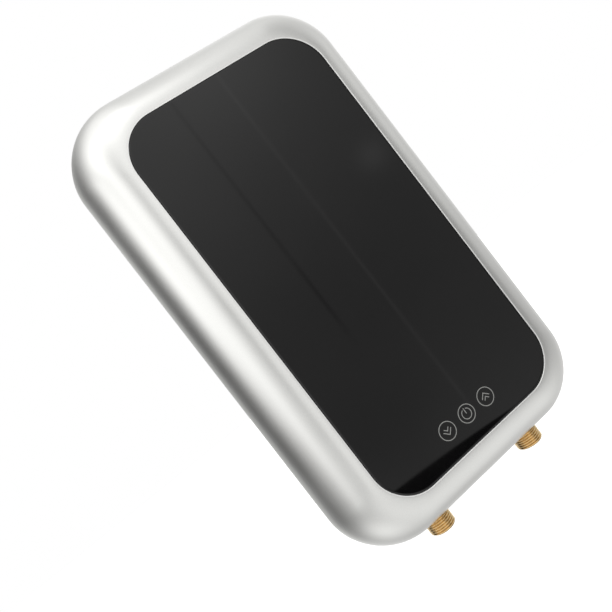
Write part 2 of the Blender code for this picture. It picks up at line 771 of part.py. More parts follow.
def make_connector(name, side):
    """A brass G 1/2 connector: thread with a chamfered end, hex collar, sealed neck and a straight bore."""
    low = CASE_BOTTOM - CONNECTOR_REACH
    chamfer = 0.0013
    groove_half = SEAL_WIRE / 2 + SEAT
    profile = [
        (0, low),
        (THREAD_RADIUS - chamfer, low),
        (THREAD_RADIUS, low + chamfer),
        (THREAD_RADIUS, COLLAR_BOTTOM + SEAT),
        (NECK_RADIUS, COLLAR_BOTTOM + SEAT),
        (NECK_RADIUS, SEAL_HEIGHT - groove_half),
        (SEAL_GROOVE, SEAL_HEIGHT - groove_half),
        (SEAL_GROOVE, SEAL_HEIGHT + groove_half),
        (NECK_RADIUS, SEAL_HEIGHT + groove_half),
        (NECK_RADIUS, NECK_TOP),
        (0, NECK_TOP),
    ]
    place = (side * COLUMN_X, CONNECTOR_Y, 0)
    connector = add_piece(name, turned(profile), BRASS, place)
    corner = COLLAR_FLATS / math.sqrt(3)
    collar = extrusion(circle(corner, 6), "Z", COLLAR_BOTTOM, COLLAR_TOP)
    combine(connector, add_helper(name + "_collar", collar, place), "UNION")
    bore = rod(CONNECTOR_BORE, low - OVERRUN, NECK_TOP + OVERRUN)
    combine(connector, add_helper(name + "_bore", bore, place), "DIFFERENCE")


def make_seal(name, side):
    """The rubber ring in a connector's neck."""
    radius = SEAL_GROOVE + SEAT + SEAL_WIRE / 2
    section = circle(SEAL_WIRE / 2, 5, (radius, SEAL_HEIGHT))
    add_piece(name, turned(section), BLACK_RUBBER, (side * COLUMN_X, CONNECTOR_Y, 0))


def make_strainer():
    """The slotted cup that keeps grit out of the flow meter, pushed into the cold connector."""
    rim_radius = CONNECTOR_BORE - SEAT
    wall = 0.0008
    length = 0.015
    tip_radius = rim_radius * 0.6
    low = COLLAR_BOTTOM + OVERRUN
    high = low + length
    profile = [
        (0, high),
        (tip_radius, high),
        (rim_radius - wall, low + wall),
        (rim_radius, low + wall),
        (rim_radius, low),
        (rim_radius - 2 * wall, low),
        (tip_radius - wall, high - wall),
        (0, high - wall),
    ]
    place = (COLUMN_X, CONNECTOR_Y, 0)
    strainer = add_piece("inlet_strainer", turned(profile[::-1], 10), WHITE_PLASTIC, place)
    slots = bmesh.new()
    levels = 3
    pitch = length / (levels + 2)
    for level in range(levels):
        middle = low + pitch * (level + 1.5)
        add_block(slots, (-rim_radius, -wall, middle - wall / 2), (rim_radius, wall, middle + wall / 2))
    combine(strainer, add_helper("strainer_slots", slots, place), "DIFFERENCE")
    crossed = add_object("strainer_slots_crossed", bmesh.new(), place, (0, 0, math.pi / 2))
    crossed.data = bpy.data.objects["strainer_slots"].data
    crossed.hide_render = True
    crossed.display_type = "WIRE"
    combine(strainer, crossed, "DIFFERENCE")


def make_connector_clamp():
    """The steel angle that holds both connectors down on the rear cover's bottom wall."""
    low = COLLAR_TOP + SEAT
    high = low + SHEET_THICKNESS
    flange_front = CLAMP_FLANGE_REAR - SHEET_THICKNESS
    front = CONNECTOR_Y - NECK_RADIUS - OVERRUN * 2
    flange_top = METER_BOTTOM - 2 * SEAT
    half = COLUMN_X + NECK_RADIUS + POST_RADIUS
    outline = [
        (front, low),
        (CLAMP_FLANGE_REAR, low),
        (CLAMP_FLANGE_REAR, flange_top),
        (flange_front, flange_top),
        (flange_front, high),
        (front, high),
    ]
    clamp = add_piece("connector_clamp", extrusion(outline, "X", -half, half), ZINC_STEEL)
    tab_half = 2 * POST_RADIUS
    tab_top = CLAMP_SCREW_Z + POST_RADIUS
    tab = [(tab_half, high), (tab_half / 2, tab_top), (-tab_half / 2, tab_top), (-tab_half, high)]
    tab = extrusion(tab, "Y", flange_front, CLAMP_FLANGE_REAR)
    combine(clamp, add_helper("clamp_tab", tab), "UNION")
    cuts = bmesh.new()
    for centre, radius in ((-COLUMN_X, NECK_RADIUS), (0, GROMMET_NECK), (COLUMN_X, NECK_RADIUS)):
        outline = circle(radius + SEAT, centre=(centre, CONNECTOR_Y))
        add_extrusion(cuts, outline, "Z", low - OVERRUN, high + OVERRUN)
    outline = circle(SCREW_HOLE, HOLE_STEPS, (0, CLAMP_SCREW_Z))
    add_extrusion(cuts, outline, "Y", flange_front - OVERRUN, CLAMP_FLANGE_REAR + OVERRUN)
    combine(clamp, add_helper("clamp_cuts", cuts), "DIFFERENCE")


METER_BOSS_RADIUS = METER_RADIUS + 0.0016
METER_PAD_REACH = METER_RADIUS + 0.002
METER_MIDDLE = (NECK_TOP + METER_SHOULDER) / 2


def column_profile():
    """Section of a water column's lower body, with a socket for the neck and one for the pipe."""
    step = METER_BOTTOM + SOCKET_DEPTH + SEAT
    return [
        (SOCKET_RADIUS, METER_BOTTOM),
        (METER_BOSS_RADIUS, METER_BOTTOM),
        (METER_BOSS_RADIUS, step + METER_BOSS_RADIUS - METER_RADIUS),
        (METER_RADIUS, step + 2 * (METER_BOSS_RADIUS - METER_RADIUS)),
        (METER_RADIUS, METER_TOP),
        (PIPE_RADIUS + SEAT, METER_TOP),
        (PIPE_RADIUS + SEAT, METER_SHOULDER),
        (PIPE_BORE, METER_SHOULDER),
        (PIPE_BORE, METER_SHOULDER - 2 * PIPE_WALL),
        (METER_BORE, METER_SHOULDER - 2 * PIPE_WALL),
        (METER_BORE, step),
        (SOCKET_RADIUS, step),
    ]


def make_flow_meter():
    """The cold column's flow meter body with the flat pad that carries its sensor, and the sensor."""
    place = (COLUMN_X, CONNECTOR_Y, 0)
    body = add_piece("flow_meter_body", turned(column_profile()), BLACK_PLASTIC, place)
    pad_half = 0.006
    pad_half_height = 0.008
    low = (-pad_half, -METER_PAD_REACH, METER_MIDDLE - pad_half_height)
    high = (pad_half, -(METER_BORE + METER_RADIUS) / 2, METER_MIDDLE + pad_half_height)
    combine(body, add_helper("sensor_pad", block(low, high), place), "UNION")
    sensor_thickness = 0.003
    front = -METER_PAD_REACH - SEAT - sensor_thickness
    low = (-pad_half, front, METER_MIDDLE - pad_half_height + SEAT)
    high = (pad_half, -METER_PAD_REACH - SEAT, METER_MIDDLE + pad_half_height - SEAT)
    add_piece("hall_sensor", block(low, high, SEAT), GREY_PLASTIC, place)


SPIDER_RADIUS = METER_BORE - SEAT
SPIDER_HEIGHT = 0.0055
LOWER_SPIDER = NECK_TOP + 2 * SEAT
UPPER_SPIDER = METER_SHOULDER - 2 * PIPE_WALL - SEAT - SPIDER_HEIGHT


def make_spider(name, low):
    """A ring with three arms that holds one end of the turbine's shaft in the middle of the flow."""
    hub = SHAFT_RADIUS + 0.0014
    rim = SPIDER_RADIUS - 0.0012
    arm_half_angle = math.radians(12)
    place = (COLUMN_X, CONNECTOR_Y, 0)
    spider = add_piece(name, rod(SPIDER_RADIUS, low, low + SPIDER_HEIGHT, 15), WHITE_PLASTIC, place)
    windows = bmesh.new()
    arms = 3
    span = 2 * math.pi / arms - 2 * arm_half_angle
    for arm in range(arms):
        start = 2 * math.pi * arm / arms + arm_half_angle
        outline = circle(rim, 3, start=start, turn=span)
        outline += reversed(circle(hub, 2, start=start, turn=span))
        add_extrusion(windows, outline, "Z", low - OVERRUN, low + SPIDER_HEIGHT + OVERRUN)
    outline = circle(SHAFT_RADIUS + SEAT, HOLE_STEPS)
    add_extrusion(windows, outline, "Z", low - OVERRUN, low + SPIDER_HEIGHT + OVERRUN)
    combine(spider, add_helper(name + "_windows", windows, place), "DIFFERENCE")


def make_turbine():
    """The fixed shaft, and the bladed rotor that spins on it."""
    end = SPIDER_HEIGHT * 0.8
    place = (COLUMN_X, CONNECTOR_Y, 0)
    shaft = rod(SHAFT_RADIUS, LOWER_SPIDER + SPIDER_HEIGHT - end, UPPER_SPIDER + end, 16)
    add_piece("turbine_shaft", shaft, STAINLESS, place)
    axial_gap = 0.0009
    low = LOWER_SPIDER + SPIDER_HEIGHT + axial_gap
    high = UPPER_SPIDER - axial_gap
    middle = (low + high) / 2
    hub = 0.0032
    profile = [(SHAFT_HOLE, low), (hub, low), (hub, high), (SHAFT_HOLE, high)]
    hub_shape = turned([(r, z - middle) for r, z in profile], 32)
    rotor = add_piece("turbine_rotor", hub_shape, BLUE_PLASTIC, (*place[:2], middle))
    tip = METER_BORE - 0.0008
    root = (SHAFT_HOLE + hub) / 2
    thickness = 0.0009
    blade_half = (high - low) / 2 - axial_gap
    twist = math.radians(55)
    steps = 3
    blades = bmesh.new()
    count = 6
    for blade in range(count):
        rings = []
        for step in range(steps + 1):
            share = step / steps
            heading = Matrix.Rotation(2 * math.pi * blade / count + twist * share, 4, "Z")
            z = blade_half * (2 * share - 1)
            corners = ((root, -thickness / 2), (tip, -thickness / 2), (tip, thickness / 2), (root, thickness / 2))
            rings.append([heading @ Vector((x, y, z)) for x, y in corners])
        add_loft(blades, rings)
    combine(rotor, add_helper("turbine_blades", blades, rotor.location), "UNION")


PROBE_HEIGHT = METER_MIDDLE
PROBE_STEM = 0.0018
PROBE_BOSS = 0.0055


def make_outlet_tee():
    """The hot column's lower body with a side boss, and the temperature probe screwed into it."""
    place = (-COLUMN_X, CONNECTOR_Y, 0)
    tee = add_piece("outlet_tee", turned(column_profile()), BLACK_PLASTIC, place)
    boss_reach = METER_PAD_REACH
    inner = (METER_BORE + METER_RADIUS) / 2
    at_probe = (-COLUMN_X, CONNECTOR_Y, PROBE_HEIGHT)
    boss = add_helper("probe_boss", rod(PROBE_BOSS, inner, boss_reach), at_probe, FACING_FRONT)
    combine(tee, boss, "UNION")
    hole = add_helper("probe_hole", rod(PROBE_STEM + SEAT, 0, boss_reach + OVERRUN, 12), at_probe, FACING_FRONT)
    combine(tee, hole, "DIFFERENCE")
    flange = PROBE_BOSS - SEAT
    flange_thickness = 0.002
    head = 0.0032
    head_length = 0.005
    tip = METER_BORE * 0.3
    seat = boss_reach + SEAT
    profile = [
        (0, tip),
        (PROBE_STEM, tip),
        (PROBE_STEM, seat),
        (flange, seat),
        (flange, seat + flange_thickness),
        (head, seat + flange_thickness),
        (head, seat + flange_thickness + head_length),
        (0, seat + flange_thickness + head_length),
    ]
    add_piece("temperature_probe", turned(profile, 16), STAINLESS, at_probe, FACING_FRONT)


def make_pipe(name, side):
    """The short swept copper pipe from a column's body up to its chamber."""
    low = METER_SHOULDER + SEAT
    high = SPIGOT_BOTTOM + PIPE_SOCKET - SEAT
    bend_low = METER_TOP
    bend_high = SPIGOT_BOTTOM
    steps = 5
    shift = CHAMBER_Y - CONNECTOR_Y
    path = [Vector((side * COLUMN_X, CONNECTOR_Y, low))]
    for step in range(steps + 1):
        share = step / steps
        ease = share * share * (3 - 2 * share)
        z = bend_low + (bend_high - bend_low) * share
        path.append(Vector((side * COLUMN_X, CONNECTOR_Y + shift * ease, z)))
    path.append(Vector((side * COLUMN_X, CHAMBER_Y, high)))
    outer = tube_rings(path, PIPE_RADIUS, 12)
    inner = tube_rings(path, PIPE_BORE, 12)
    add_piece(name, loft(outer + inner[::-1], closed=True), COPPER)


def make_bottom_cap(name, side):
    """A chamber's lower cap, with a spigot for its pipe."""
    spigot = PIPE_RADIUS + SEAT + CAP_WALL
    floor = CHAMBER_BOTTOM - SEAT
    profile = [
        (PIPE_RADIUS + SEAT, SPIGOT_BOTTOM),
        (spigot, SPIGOT_BOTTOM),
        (spigot, CHAMBER_BOTTOM - CAP_FLOOR),
        (CAP_RADIUS, CHAMBER_BOTTOM - CAP_FLOOR),
        (CAP_RADIUS, CHAMBER_BOTTOM + CAP_LAP),
        (CAP_SOCKET, CHAMBER_BOTTOM + CAP_LAP),
        (CAP_SOCKET, floor),
        (PIPE_BORE, floor),
        (PIPE_BORE, SPIGOT_BOTTOM + PIPE_SOCKET),
        (PIPE_RADIUS + SEAT, SPIGOT_BOTTOM + PIPE_SOCKET),
    ]
    add_piece(name, turned(profile), BLACK_PLASTIC, (side * COLUMN_X, CHAMBER_Y, 0))


def make_chamber(name, side):
    """A plain stainless tube."""
    bore = CHAMBER_RADIUS - CHAMBER_WALL
    profile = [
        (bore, CHAMBER_BOTTOM),
        (CHAMBER_RADIUS, CHAMBER_BOTTOM),
        (CHAMBER_RADIUS, CHAMBER_TOP),
        (bore, CHAMBER_TOP),
    ]
    add_piece(name, turned(profile), STAINLESS, (side * COLUMN_X, CHAMBER_Y, 0))


HEADROOM = 0.012
MANIFOLD_TOP = CHAMBER_TOP + HEADROOM + CAP_FLOOR
ELEMENT_TOP = MANIFOLD_TOP + 0.009


def element_path():
    """Down the middle of the chamber, round, and back up as a helix that ends in a straight leg."""
    turns = 6
    points_per_turn = 8
    low = CHAMBER_BOTTOM + 3 * ELEMENT_RADIUS
    high = CHAMBER_TOP - 2 * ELEMENT_RADIUS
    bend = 2 * ELEMENT_RADIUS
    path = [Vector((0, 0, ELEMENT_TOP)), Vector((0, 0, low + 2 * bend))]
    steps = 5
    for step in range(1, steps + 1):
        share = step / steps
        angle = math.pi * share
        drop = bend * math.cos(math.pi / 2 * share)
        radius = ELEMENT_WIND_RADIUS * math.sin(math.pi / 2 * share)
        path.append(Vector((-radius * math.cos(angle), -radius * math.sin(angle), low + drop)))
    count = turns * points_per_turn
    for step in range(1, count + 1):
        angle = 2 * math.pi * step / points_per_turn
        z = low + (high - low) * step / count
        path.append(Vector((ELEMENT_WIND_RADIUS * math.cos(angle), ELEMENT_WIND_RADIUS * math.sin(angle), z)))
    path.append(Vector((ELEMENT_WIND_RADIUS, 0, high + bend)))
    path.append(Vector((ELEMENT_WIND_RADIUS, 0, ELEMENT_TOP)))
    return path


def least_gap(path, radius):
    """The smallest gap between stretches of a wound tube that aren't next to each other on it."""
    apart = 8 * radius
    lengths = [0]
    for before, after in zip(path, path[1:]):
        lengths.append(lengths[-1] + (after - before).length)
    gaps = [
        (path[i] - path[j]).length - 2 * radius
        for i in range(len(path))
        for j in range(i)
        if lengths[i] - lengths[j] > apart
    ]
    return min(gaps)


def make_heating_element(name, side):
    """A tubular heating element, one unbroken tube wound round its own straight leg."""
    path = element_path()
    print(f"{name}: least gap to itself {1000 * least_gap(path, ELEMENT_RADIUS):.2f} mm")
    rings = tube_rings(path, ELEMENT_RADIUS, 6)
    half_turn = math.pi * (1 - side) / 2
    add_piece(name, loft(rings), STAINLESS, (side * COLUMN_X, CHAMBER_Y, 0), (0, 0, half_turn))


BRIDGE_HALF_DEPTH = 0.010
BRIDGE_FRONT = CHAMBER_Y - BRIDGE_HALF_DEPTH
BRIDGE_TOP = MANIFOLD_TOP - 0.002


def make_top_manifold():
    """The moulded head: a cup over each chamber, a water way between them, and sealed leg holes."""
    rim = CHAMBER_TOP - CAP_LAP
    cavity = ELEMENT_WIND_RADIUS + ELEMENT_RADIUS + 2 * SEAT
    roof = CHAMBER_TOP + HEADROOM
    profile = [
        (0, roof),
        (cavity, roof),
        (cavity, CHAMBER_TOP + SEAT),
        (CAP_SOCKET, CHAMBER_TOP + SEAT),
        (CAP_SOCKET, rim),
        (CAP_RADIUS, rim),
        (CAP_RADIUS, MANIFOLD_TOP),
        (0, MANIFOLD_TOP),
    ]
    manifold = add_piece("top_manifold", turned(profile), BLACK_PLASTIC, (COLUMN_X, CHAMBER_Y, 0))
    hot_cup = add_helper("hot_cup", turned(profile), (-COLUMN_X, CHAMBER_Y, 0))
    reach = COLUMN_X - (cavity + CAP_SOCKET) / 2
    low = (-reach, BRIDGE_FRONT, CHAMBER_TOP)
    bridge = block(low, (reach, CHAMBER_Y + BRIDGE_HALF_DEPTH, BRIDGE_TOP))
    bridge = add_helper("manifold_bridge", bridge)
    combine(bridge, hot_cup, "UNION")
    combine(manifold, bridge, "UNION")
    cuts = bmesh.new()
    way_half = BRIDGE_HALF_DEPTH * 0.6
    way_reach = COLUMN_X - ELEMENT_WIND_RADIUS - 2 * ELEMENT_RADIUS + cavity / 2
    way_reach = min(way_reach, COLUMN_X - ELEMENT_WIND_RADIUS)
    low = (-way_reach, CHAMBER_Y - way_half, CHAMBER_TOP + CAP_WALL)
    add_block(cuts, low, (way_reach, CHAMBER_Y + way_half, roof - CAP_WALL))
    for side in (-1, 1):
        for offset in (0, ELEMENT_WIND_RADIUS):
            outline = circle(ELEMENT_RADIUS + SEAT, 12, (side * (COLUMN_X + offset), CHAMBER_Y))
            add_extrusion(cuts, outline, "Z", roof - OVERRUN, MANIFOLD_TOP + OVERRUN)
    combine(manifold, add_helper("manifold_cuts", cuts), "DIFFERENCE")


CUTOUT_X = -0.010
CUTOUT_HEIGHT = (CHAMBER_TOP + BRIDGE_TOP) / 2
CUTOUT_PLACE = (CUTOUT_X, BRIDGE_FRONT - SEAT, CUTOUT_HEIGHT)
CUTOUT_FLANGE = 0.001
CUTOUT_BODY_HEIGHT = 0.008
CUTOUT_COLLAR_TOP = 0.0108
BUTTON_PROUD = 0.001


def make_thermal_cutout():
    """The manual-reset thermal cut-out screwed to the head's hot end, and its reset button."""
    body_radius = 0.007
    collar_radius = 0.0035
    bore_bottom = CUTOUT_FLANGE + SHEET_THICKNESS
    profile = [
        (0, 0),
        (body_radius, 0),
        (body_radius, CUTOUT_BODY_HEIGHT),
        (collar_radius, CUTOUT_BODY_HEIGHT),
        (collar_radius, CUTOUT_COLLAR_TOP),
        (BUTTON_HOLE, CUTOUT_COLLAR_TOP),
        (BUTTON_HOLE, bore_bottom),
        (0, bore_bottom),
    ]
    cutout = add_piece("thermal_cutout", turned(profile), BLACK_PLASTIC, CUTOUT_PLACE, FACING_FRONT)
    ear = 0.012
    ear_half = 0.0055
    outline = circle(ear_half, 8, (ear - ear_half, 0), -math.pi / 2, math.pi)
    outline += circle(ear_half, 8, (ear_half - ear, 0), math.pi / 2, math.pi)
    flange = extrusion(outline, "Z", 0, CUTOUT_FLANGE)
    combine(cutout, add_helper("cutout_flange", flange, CUTOUT_PLACE, FACING_FRONT), "UNION")
    start = bore_bottom + SEAT
    button = rod(BUTTON_RADIUS, start, CUTOUT_COLLAR_TOP + BUTTON_PROUD)
    add_piece("reset_button", button, RED_PLASTIC, CUTOUT_PLACE, FACING_FRONT)


def strap_outline():
    """Section of a strap seen from above: feet, a hump over each chamber and a flat middle."""
    foot_end = STRAP_FOOT_X + POST_RADIUS
    steps = 9
    lines = []
    for gap, y in ((SEAT, -STRAP_STANDOFF), (SEAT + STRAP_THICKNESS, -STRAP_STANDOFF - STRAP_THICKNESS)):
        radius = CHAMBER_RADIUS + gap
        line = [(foot_end, y)]
        for side in (1, -1):
            centre = (side * COLUMN_X, CHAMBER_Y)
            line.append((centre[0] + radius, y))
            line += circle(radius, steps, centre, 0, -math.pi)
            line.append((centre[0] - radius, y))
        line.append((-foot_end, y))
        lines.append(line)
    return lines[0] + lines[1][::-1]


def make_strap(name, height):
    """A zinc-plated strap over both chambers, staked at its ends and screwed in the middle."""
    low = height - STRAP_WIDTH / 2
    strap = add_piece(name, extrusion(strap_outline(), "Z", low, low + STRAP_WIDTH), ZINC_STEEL)
    holes = bmesh.new()
    ends = (OVERRUN - STRAP_STANDOFF, -STRAP_STANDOFF - STRAP_THICKNESS - OVERRUN)
    for centre, radius in ((-STRAP_FOOT_X, PEG_RADIUS), (0, SCREW_RADIUS), (STRAP_FOOT_X, PEG_RADIUS)):
        add_extrusion(holes, circle(radius + SEAT, HOLE_STEPS, (centre, height)), "Y", *ends)
    combine(strap, add_helper(name + "_holes", holes), "DIFFERENCE")


def screw(length):
    """A pan head screw along Z, its head's underside at zero."""
    recess = SCREW_HEAD_RADIUS * 0.45
    recess_depth = SCREW_HEAD_HEIGHT * 0.6
    shoulder = SCREW_HEAD_HEIGHT * 0.55
    crown = SCREW_HEAD_RADIUS * 0.72
    tip = SCREW_RADIUS * 0.6
    profile = [
        (0, -length),
        (tip, -length),
        (SCREW_RADIUS, tip - length),
        (SCREW_RADIUS, 0),
        (SCREW_HEAD_RADIUS, 0),
        (SCREW_HEAD_RADIUS, shoulder),
        (crown, SCREW_HEAD_HEIGHT),
        (recess, SCREW_HEAD_HEIGHT),
        (recess, SCREW_HEAD_HEIGHT - recess_depth),
        (0, SCREW_HEAD_HEIGHT - recess_depth),
    ]
    return turned(profile, HOLE_STEPS)


def make_screws():
    """Cover screws from the rear, and the screws of the straps and of the clamp from the front."""
    head_seat = -(COVER_JOINT_DEPTH - SEAT - SCREW_HEAD_HEIGHT) + SEAT
    for index, (x, z) in enumerate(COVER_SCREW_PLACES, 1):
        shape = screw(COVER_SCREW_LENGTH)
        add_piece(f"cover_screw_{index}", shape, ZINC_STEEL, (x, head_seat, z), FACING_WALL)
    strap_front = -STRAP_STANDOFF - STRAP_THICKNESS - SEAT
    strap_screw_length = STRAP_STANDOFF - TRAY_WALL - SEAT
    for name, height in (("upper", UPPER_STRAP_HEIGHT), ("lower", LOWER_STRAP_HEIGHT)):
        shape = screw(strap_screw_length)
        add_piece(f"{name}_strap_screw", shape, ZINC_STEEL, (0, strap_front, height), FACING_FRONT)
    clamp_front = CLAMP_FLANGE_REAR - SHEET_THICKNESS - SEAT
    clamp_screw_length = -clamp_front - TRAY_WALL - SEAT
    place = (0, clamp_front, CLAMP_SCREW_Z)
    add_piece("clamp_screw", screw(clamp_screw_length), ZINC_STEEL, place, FACING_FRONT)


def make_triacs():
    """Two triacs on an aluminium saddle, which the cold chamber's water cools."""
    half = 0.013
    front_wall = 0.0075
    height = 0.044
    drop = 0.015
    bar_front = CHAMBER_Y - CHAMBER_RADIUS - front_wall
    bar_rear = CHAMBER_Y - CHAMBER_RADIUS * 0.75
    low = (CHAMBER_BOTTOM + CHAMBER_TOP - height) / 2 - drop
    high = low + height
    bar = block((COLUMN_X - half, bar_front, low), (COLUMN_X + half, bar_rear, high))
    bar = add_piece("triac_saddle", bar, ALUMINIUM)
    place = (COLUMN_X, CHAMBER_Y, 0)
    hollow = add_helper("saddle_hollow", rod(CAP_SOCKET, low - OVERRUN, high + OVERRUN), place)
    combine(bar, hollow, "DIFFERENCE")
    package_half = 0.005
    package_height = 0.015
    package_thickness = 0.0045
    middle = (low + high) / 2
    tab = package_thickness * 0.3
    tab_height = package_height * 0.4
    rear = bar_front - SEAT
    for name, side in (("lower_triac", -1), ("upper_triac", 1)):
        start = middle + side * (package_height + tab_height) / 2 - package_height / 2
        start -= tab_height / 2
        end = start + package_height
        outline = [
            (rear, start),
            (rear, end),
            (rear - tab, end),
            (rear - tab, end - tab_height),
            (rear - package_thickness, end - tab_height),
            (rear - package_thickness, start),
        ]
        shape = extrusion(outline, "X", COLUMN_X - package_half, COLUMN_X + package_half)
        add_piece(name, shape, BLACK_PLASTIC)


BOARD_FRONT = -BOARD_STANDOFF - BOARD_THICKNESS
PART_REAR = BOARD_FRONT - SEAT


def make_power_board():
    """The power circuit board on its pegs."""
    half = BOARD_WIDTH / 2
    board = block((-half, BOARD_FRONT, BOARD_BOTTOM), (half, -BOARD_STANDOFF, BOARD_TOP))
    board = add_piece("power_board", board, GREEN_BOARD)
    holes = bmesh.new()
    for centre in board_peg_places():
        ends = (OVERRUN - BOARD_STANDOFF, BOARD_FRONT - OVERRUN)
        add_extrusion(holes, circle(PEG_RADIUS + SEAT, HOLE_STEPS, centre), "Y", *ends)
    combine(board, add_helper("board_holes", holes), "DIFFERENCE")


def board_part(name, x, z, width, depth, height, finish):
    """A boxed part on the front of the power board."""
    low = (x - width / 2, PART_REAR - depth, z - height / 2)
    return add_piece(name, block(low, (x + width / 2, PART_REAR, z + height / 2), 2 * SEAT), finish)


RESIDUAL_COIL_RADIUS = 0.010
RESIDUAL_COIL_FOOT = 0.001
RESIDUAL_COIL_HEIGHT = BOARD_BOTTOM + RESIDUAL_COIL_RADIUS * 1.5
RESIDUAL_COIL_Y = PART_REAR - RESIDUAL_COIL_RADIUS - RESIDUAL_COIL_FOOT


def make_board_parts():
    """Relay, capacitor, transformer and the residual current coil."""
    relay_width = 0.019
    relay_depth = 0.016
    relay_height = 0.026
    row_inset = 0.014
    row = BOARD_TOP - row_inset - relay_height / 2
    column = BOARD_WIDTH / 4
    board_part("main_relay", -column, row, relay_width, relay_depth, relay_height, BLUE_PLASTIC)
    core_width = 0.030
    core_depth = 0.020
    core_height = 0.024
    row_gap = 0.012
    core_row = row - (relay_height + core_height) / 2 - row_gap
    board_part("board_transformer", 0, core_row, core_width, core_depth, core_height, FERRITE)
    can_radius = 0.008
    can_length = 0.025
    rounding = 0.001
    profile = [
        (0, 0),
        (can_radius, 0),
        (can_radius, can_length - rounding),
        (can_radius - rounding, can_length),
        (0, can_length),
    ]
    place = (column, PART_REAR, row)
    add_piece("smoothing_capacitor", turned(profile, 20), BLACK_PLASTIC, place, FACING_FRONT)
    width = 0.005
    hole = RESIDUAL_COIL_RADIUS * 0.55
    profile = [
        (hole, -width),
        (RESIDUAL_COIL_RADIUS, -width),
        (RESIDUAL_COIL_RADIUS, width),
        (hole, width),
    ]
    place = (0, RESIDUAL_COIL_Y, RESIDUAL_COIL_HEIGHT)
    coil = add_piece("residual_coil", turned(profile), GREEN_BOARD, place)
    foot_half = RESIDUAL_COIL_RADIUS * 0.7
    foot_front = PART_REAR - (RESIDUAL_COIL_RADIUS - hole) / 2
    low = (-foot_half, foot_front, RESIDUAL_COIL_HEIGHT - width)
    foot = block(low, (foot_half, PART_REAR, RESIDUAL_COIL_HEIGHT + width))
    combine(coil, add_helper("residual_coil_foot", foot), "UNION")


BLOCK_HALF_WIDTH = 0.020
BLOCK_HEIGHT = 0.022
BLOCK_LIFT = 0.017
BLOCK_DEPTH = 0.016
BLOCK_BOTTOM = CLAMP_SCREW_Z + POST_RADIUS + BLOCK_LIFT
BLOCK_TOP = BLOCK_BOTTOM + BLOCK_HEIGHT


def make_terminal_block():
    """The three-pole block for the supply cable, with a screw well over each pole."""
    rear = TRAY_FLOOR - SEAT
    front = rear - BLOCK_DEPTH
    low = (-BLOCK_HALF_WIDTH, front, BLOCK_BOTTOM)
    body = block(low, (BLOCK_HALF_WIDTH, rear, BLOCK_TOP), SEAT)
    body = add_piece("terminal_block", body, WHITE_PLASTIC)
    wells = bmesh.new()
    poles = 3
    pitch = 2 * BLOCK_HALF_WIDTH / poles
    well = pitch * 0.28
    mouth = pitch * 0.2
    middle = (BLOCK_BOTTOM + BLOCK_TOP) / 2
    depth = BLOCK_DEPTH / 2
    entry_y = rear - BLOCK_DEPTH * 0.25
    for pole in range(poles):
        x = pitch * (pole - (poles - 1) / 2)
        add_extrusion(wells, circle(well, 12, (x, middle)), "Y", front - OVERRUN, front + depth)
        add_extrusion(wells, circle(mouth, 12, (x, entry_y)), "Z", BLOCK_BOTTOM - OVERRUN, middle)
    combine(body, add_helper("terminal_wells", wells), "DIFFERENCE")


CARRIER_FRONT = GLASS_BACK + SEAT
CARRIER_REAR = CARRIER_FRONT + CARRIER_DEPTH
TOUCH_BOARD_REAR = CARRIER_REAR - CARRIER_WALL - SEAT
TOUCH_BOARD_FRONT = TOUCH_BOARD_REAR - BOARD_THICKNESS


def make_panel_carrier():
    """The frame glued behind the glass that carries the touch board."""
    half = CARRIER_WIDTH / 2
    body = block((-half, CARRIER_FRONT, CARRIER_BOTTOM), (half, CARRIER_REAR, CARRIER_TOP))
    carrier = add_piece("panel_carrier", body, BLACK_PLASTIC)
    inner = half - CARRIER_WALL
    low = (-inner, CARRIER_FRONT - OVERRUN, CARRIER_BOTTOM + CARRIER_WALL)
    pocket = block(low, (inner, CARRIER_REAR - CARRIER_WALL, CARRIER_TOP - CARRIER_WALL))
    combine(carrier, add_helper("carrier_pocket", pocket), "DIFFERENCE")
    lip = 2 * CARRIER_WALL
    low = (lip - inner, CARRIER_FRONT - OVERRUN, CARRIER_BOTTOM + CARRIER_WALL + lip)
    window = block(low, (inner - lip, CARRIER_REAR + OVERRUN, CARRIER_TOP - CARRIER_WALL - lip))
    combine(carrier, add_helper("carrier_window", window), "DIFFERENCE")


def make_touch_board():
    """The touch and display board, with its digit display behind the glass."""
    half = CARRIER_WIDTH / 2 - CARRIER_WALL - SEAT
    edge = CARRIER_WALL + SEAT
    low = (-half, TOUCH_BOARD_FRONT, CARRIER_BOTTOM + edge)
    add_piece("touch_board", block(low, (half, TOUCH_BOARD_REAR, CARRIER_TOP - edge)), GREEN_BOARD)
    display_half_width = 0.019
    display_height = 0.017
    display_depth = 0.0048
    top = CARRIER_TOP - edge - 2 * CARRIER_WALL
    rear = TOUCH_BOARD_FRONT - SEAT
    low = (-display_half_width, rear - display_depth, top - display_height)
    display = block(low, (display_half_width, rear, top), SEAT)
    add_piece("display_module", display, BLACK_PLASTIC)


def make_touch_springs():
    """Conical contact springs that carry each touch field from the board to the glass."""
    wire = 0.0003
    base = 0.0036
    top = 0.0022
    turns = 3
    points_per_turn = 8
    length = TOUCH_BOARD_FRONT - GLASS_BACK - 2 * (SEAT + wire)
    count = turns * points_per_turn
    path = []
    for step in range(count + 1):
        share = step / count
        angle = 2 * math.pi * step / points_per_turn
        radius = base + (top - base) * share
        path.append(Vector((radius * math.cos(angle), radius * math.sin(angle), length * share)))
    print(f"touch springs: least gap between turns {1000 * (length / turns - 2 * wire):.2f} mm")
    for name, offset in (("down", -1), ("power", 0), ("up", 1)):
        place = (offset * TOUCH_PITCH, TOUCH_BOARD_FRONT - SEAT - wire, TOUCH_HEIGHT)
        rings = tube_rings(path, wire, 4)
        add_piece(f"touch_spring_{name}", loft(rings), STAINLESS, place, FACING_FRONT)


LEAD_RADIUS = 0.0014


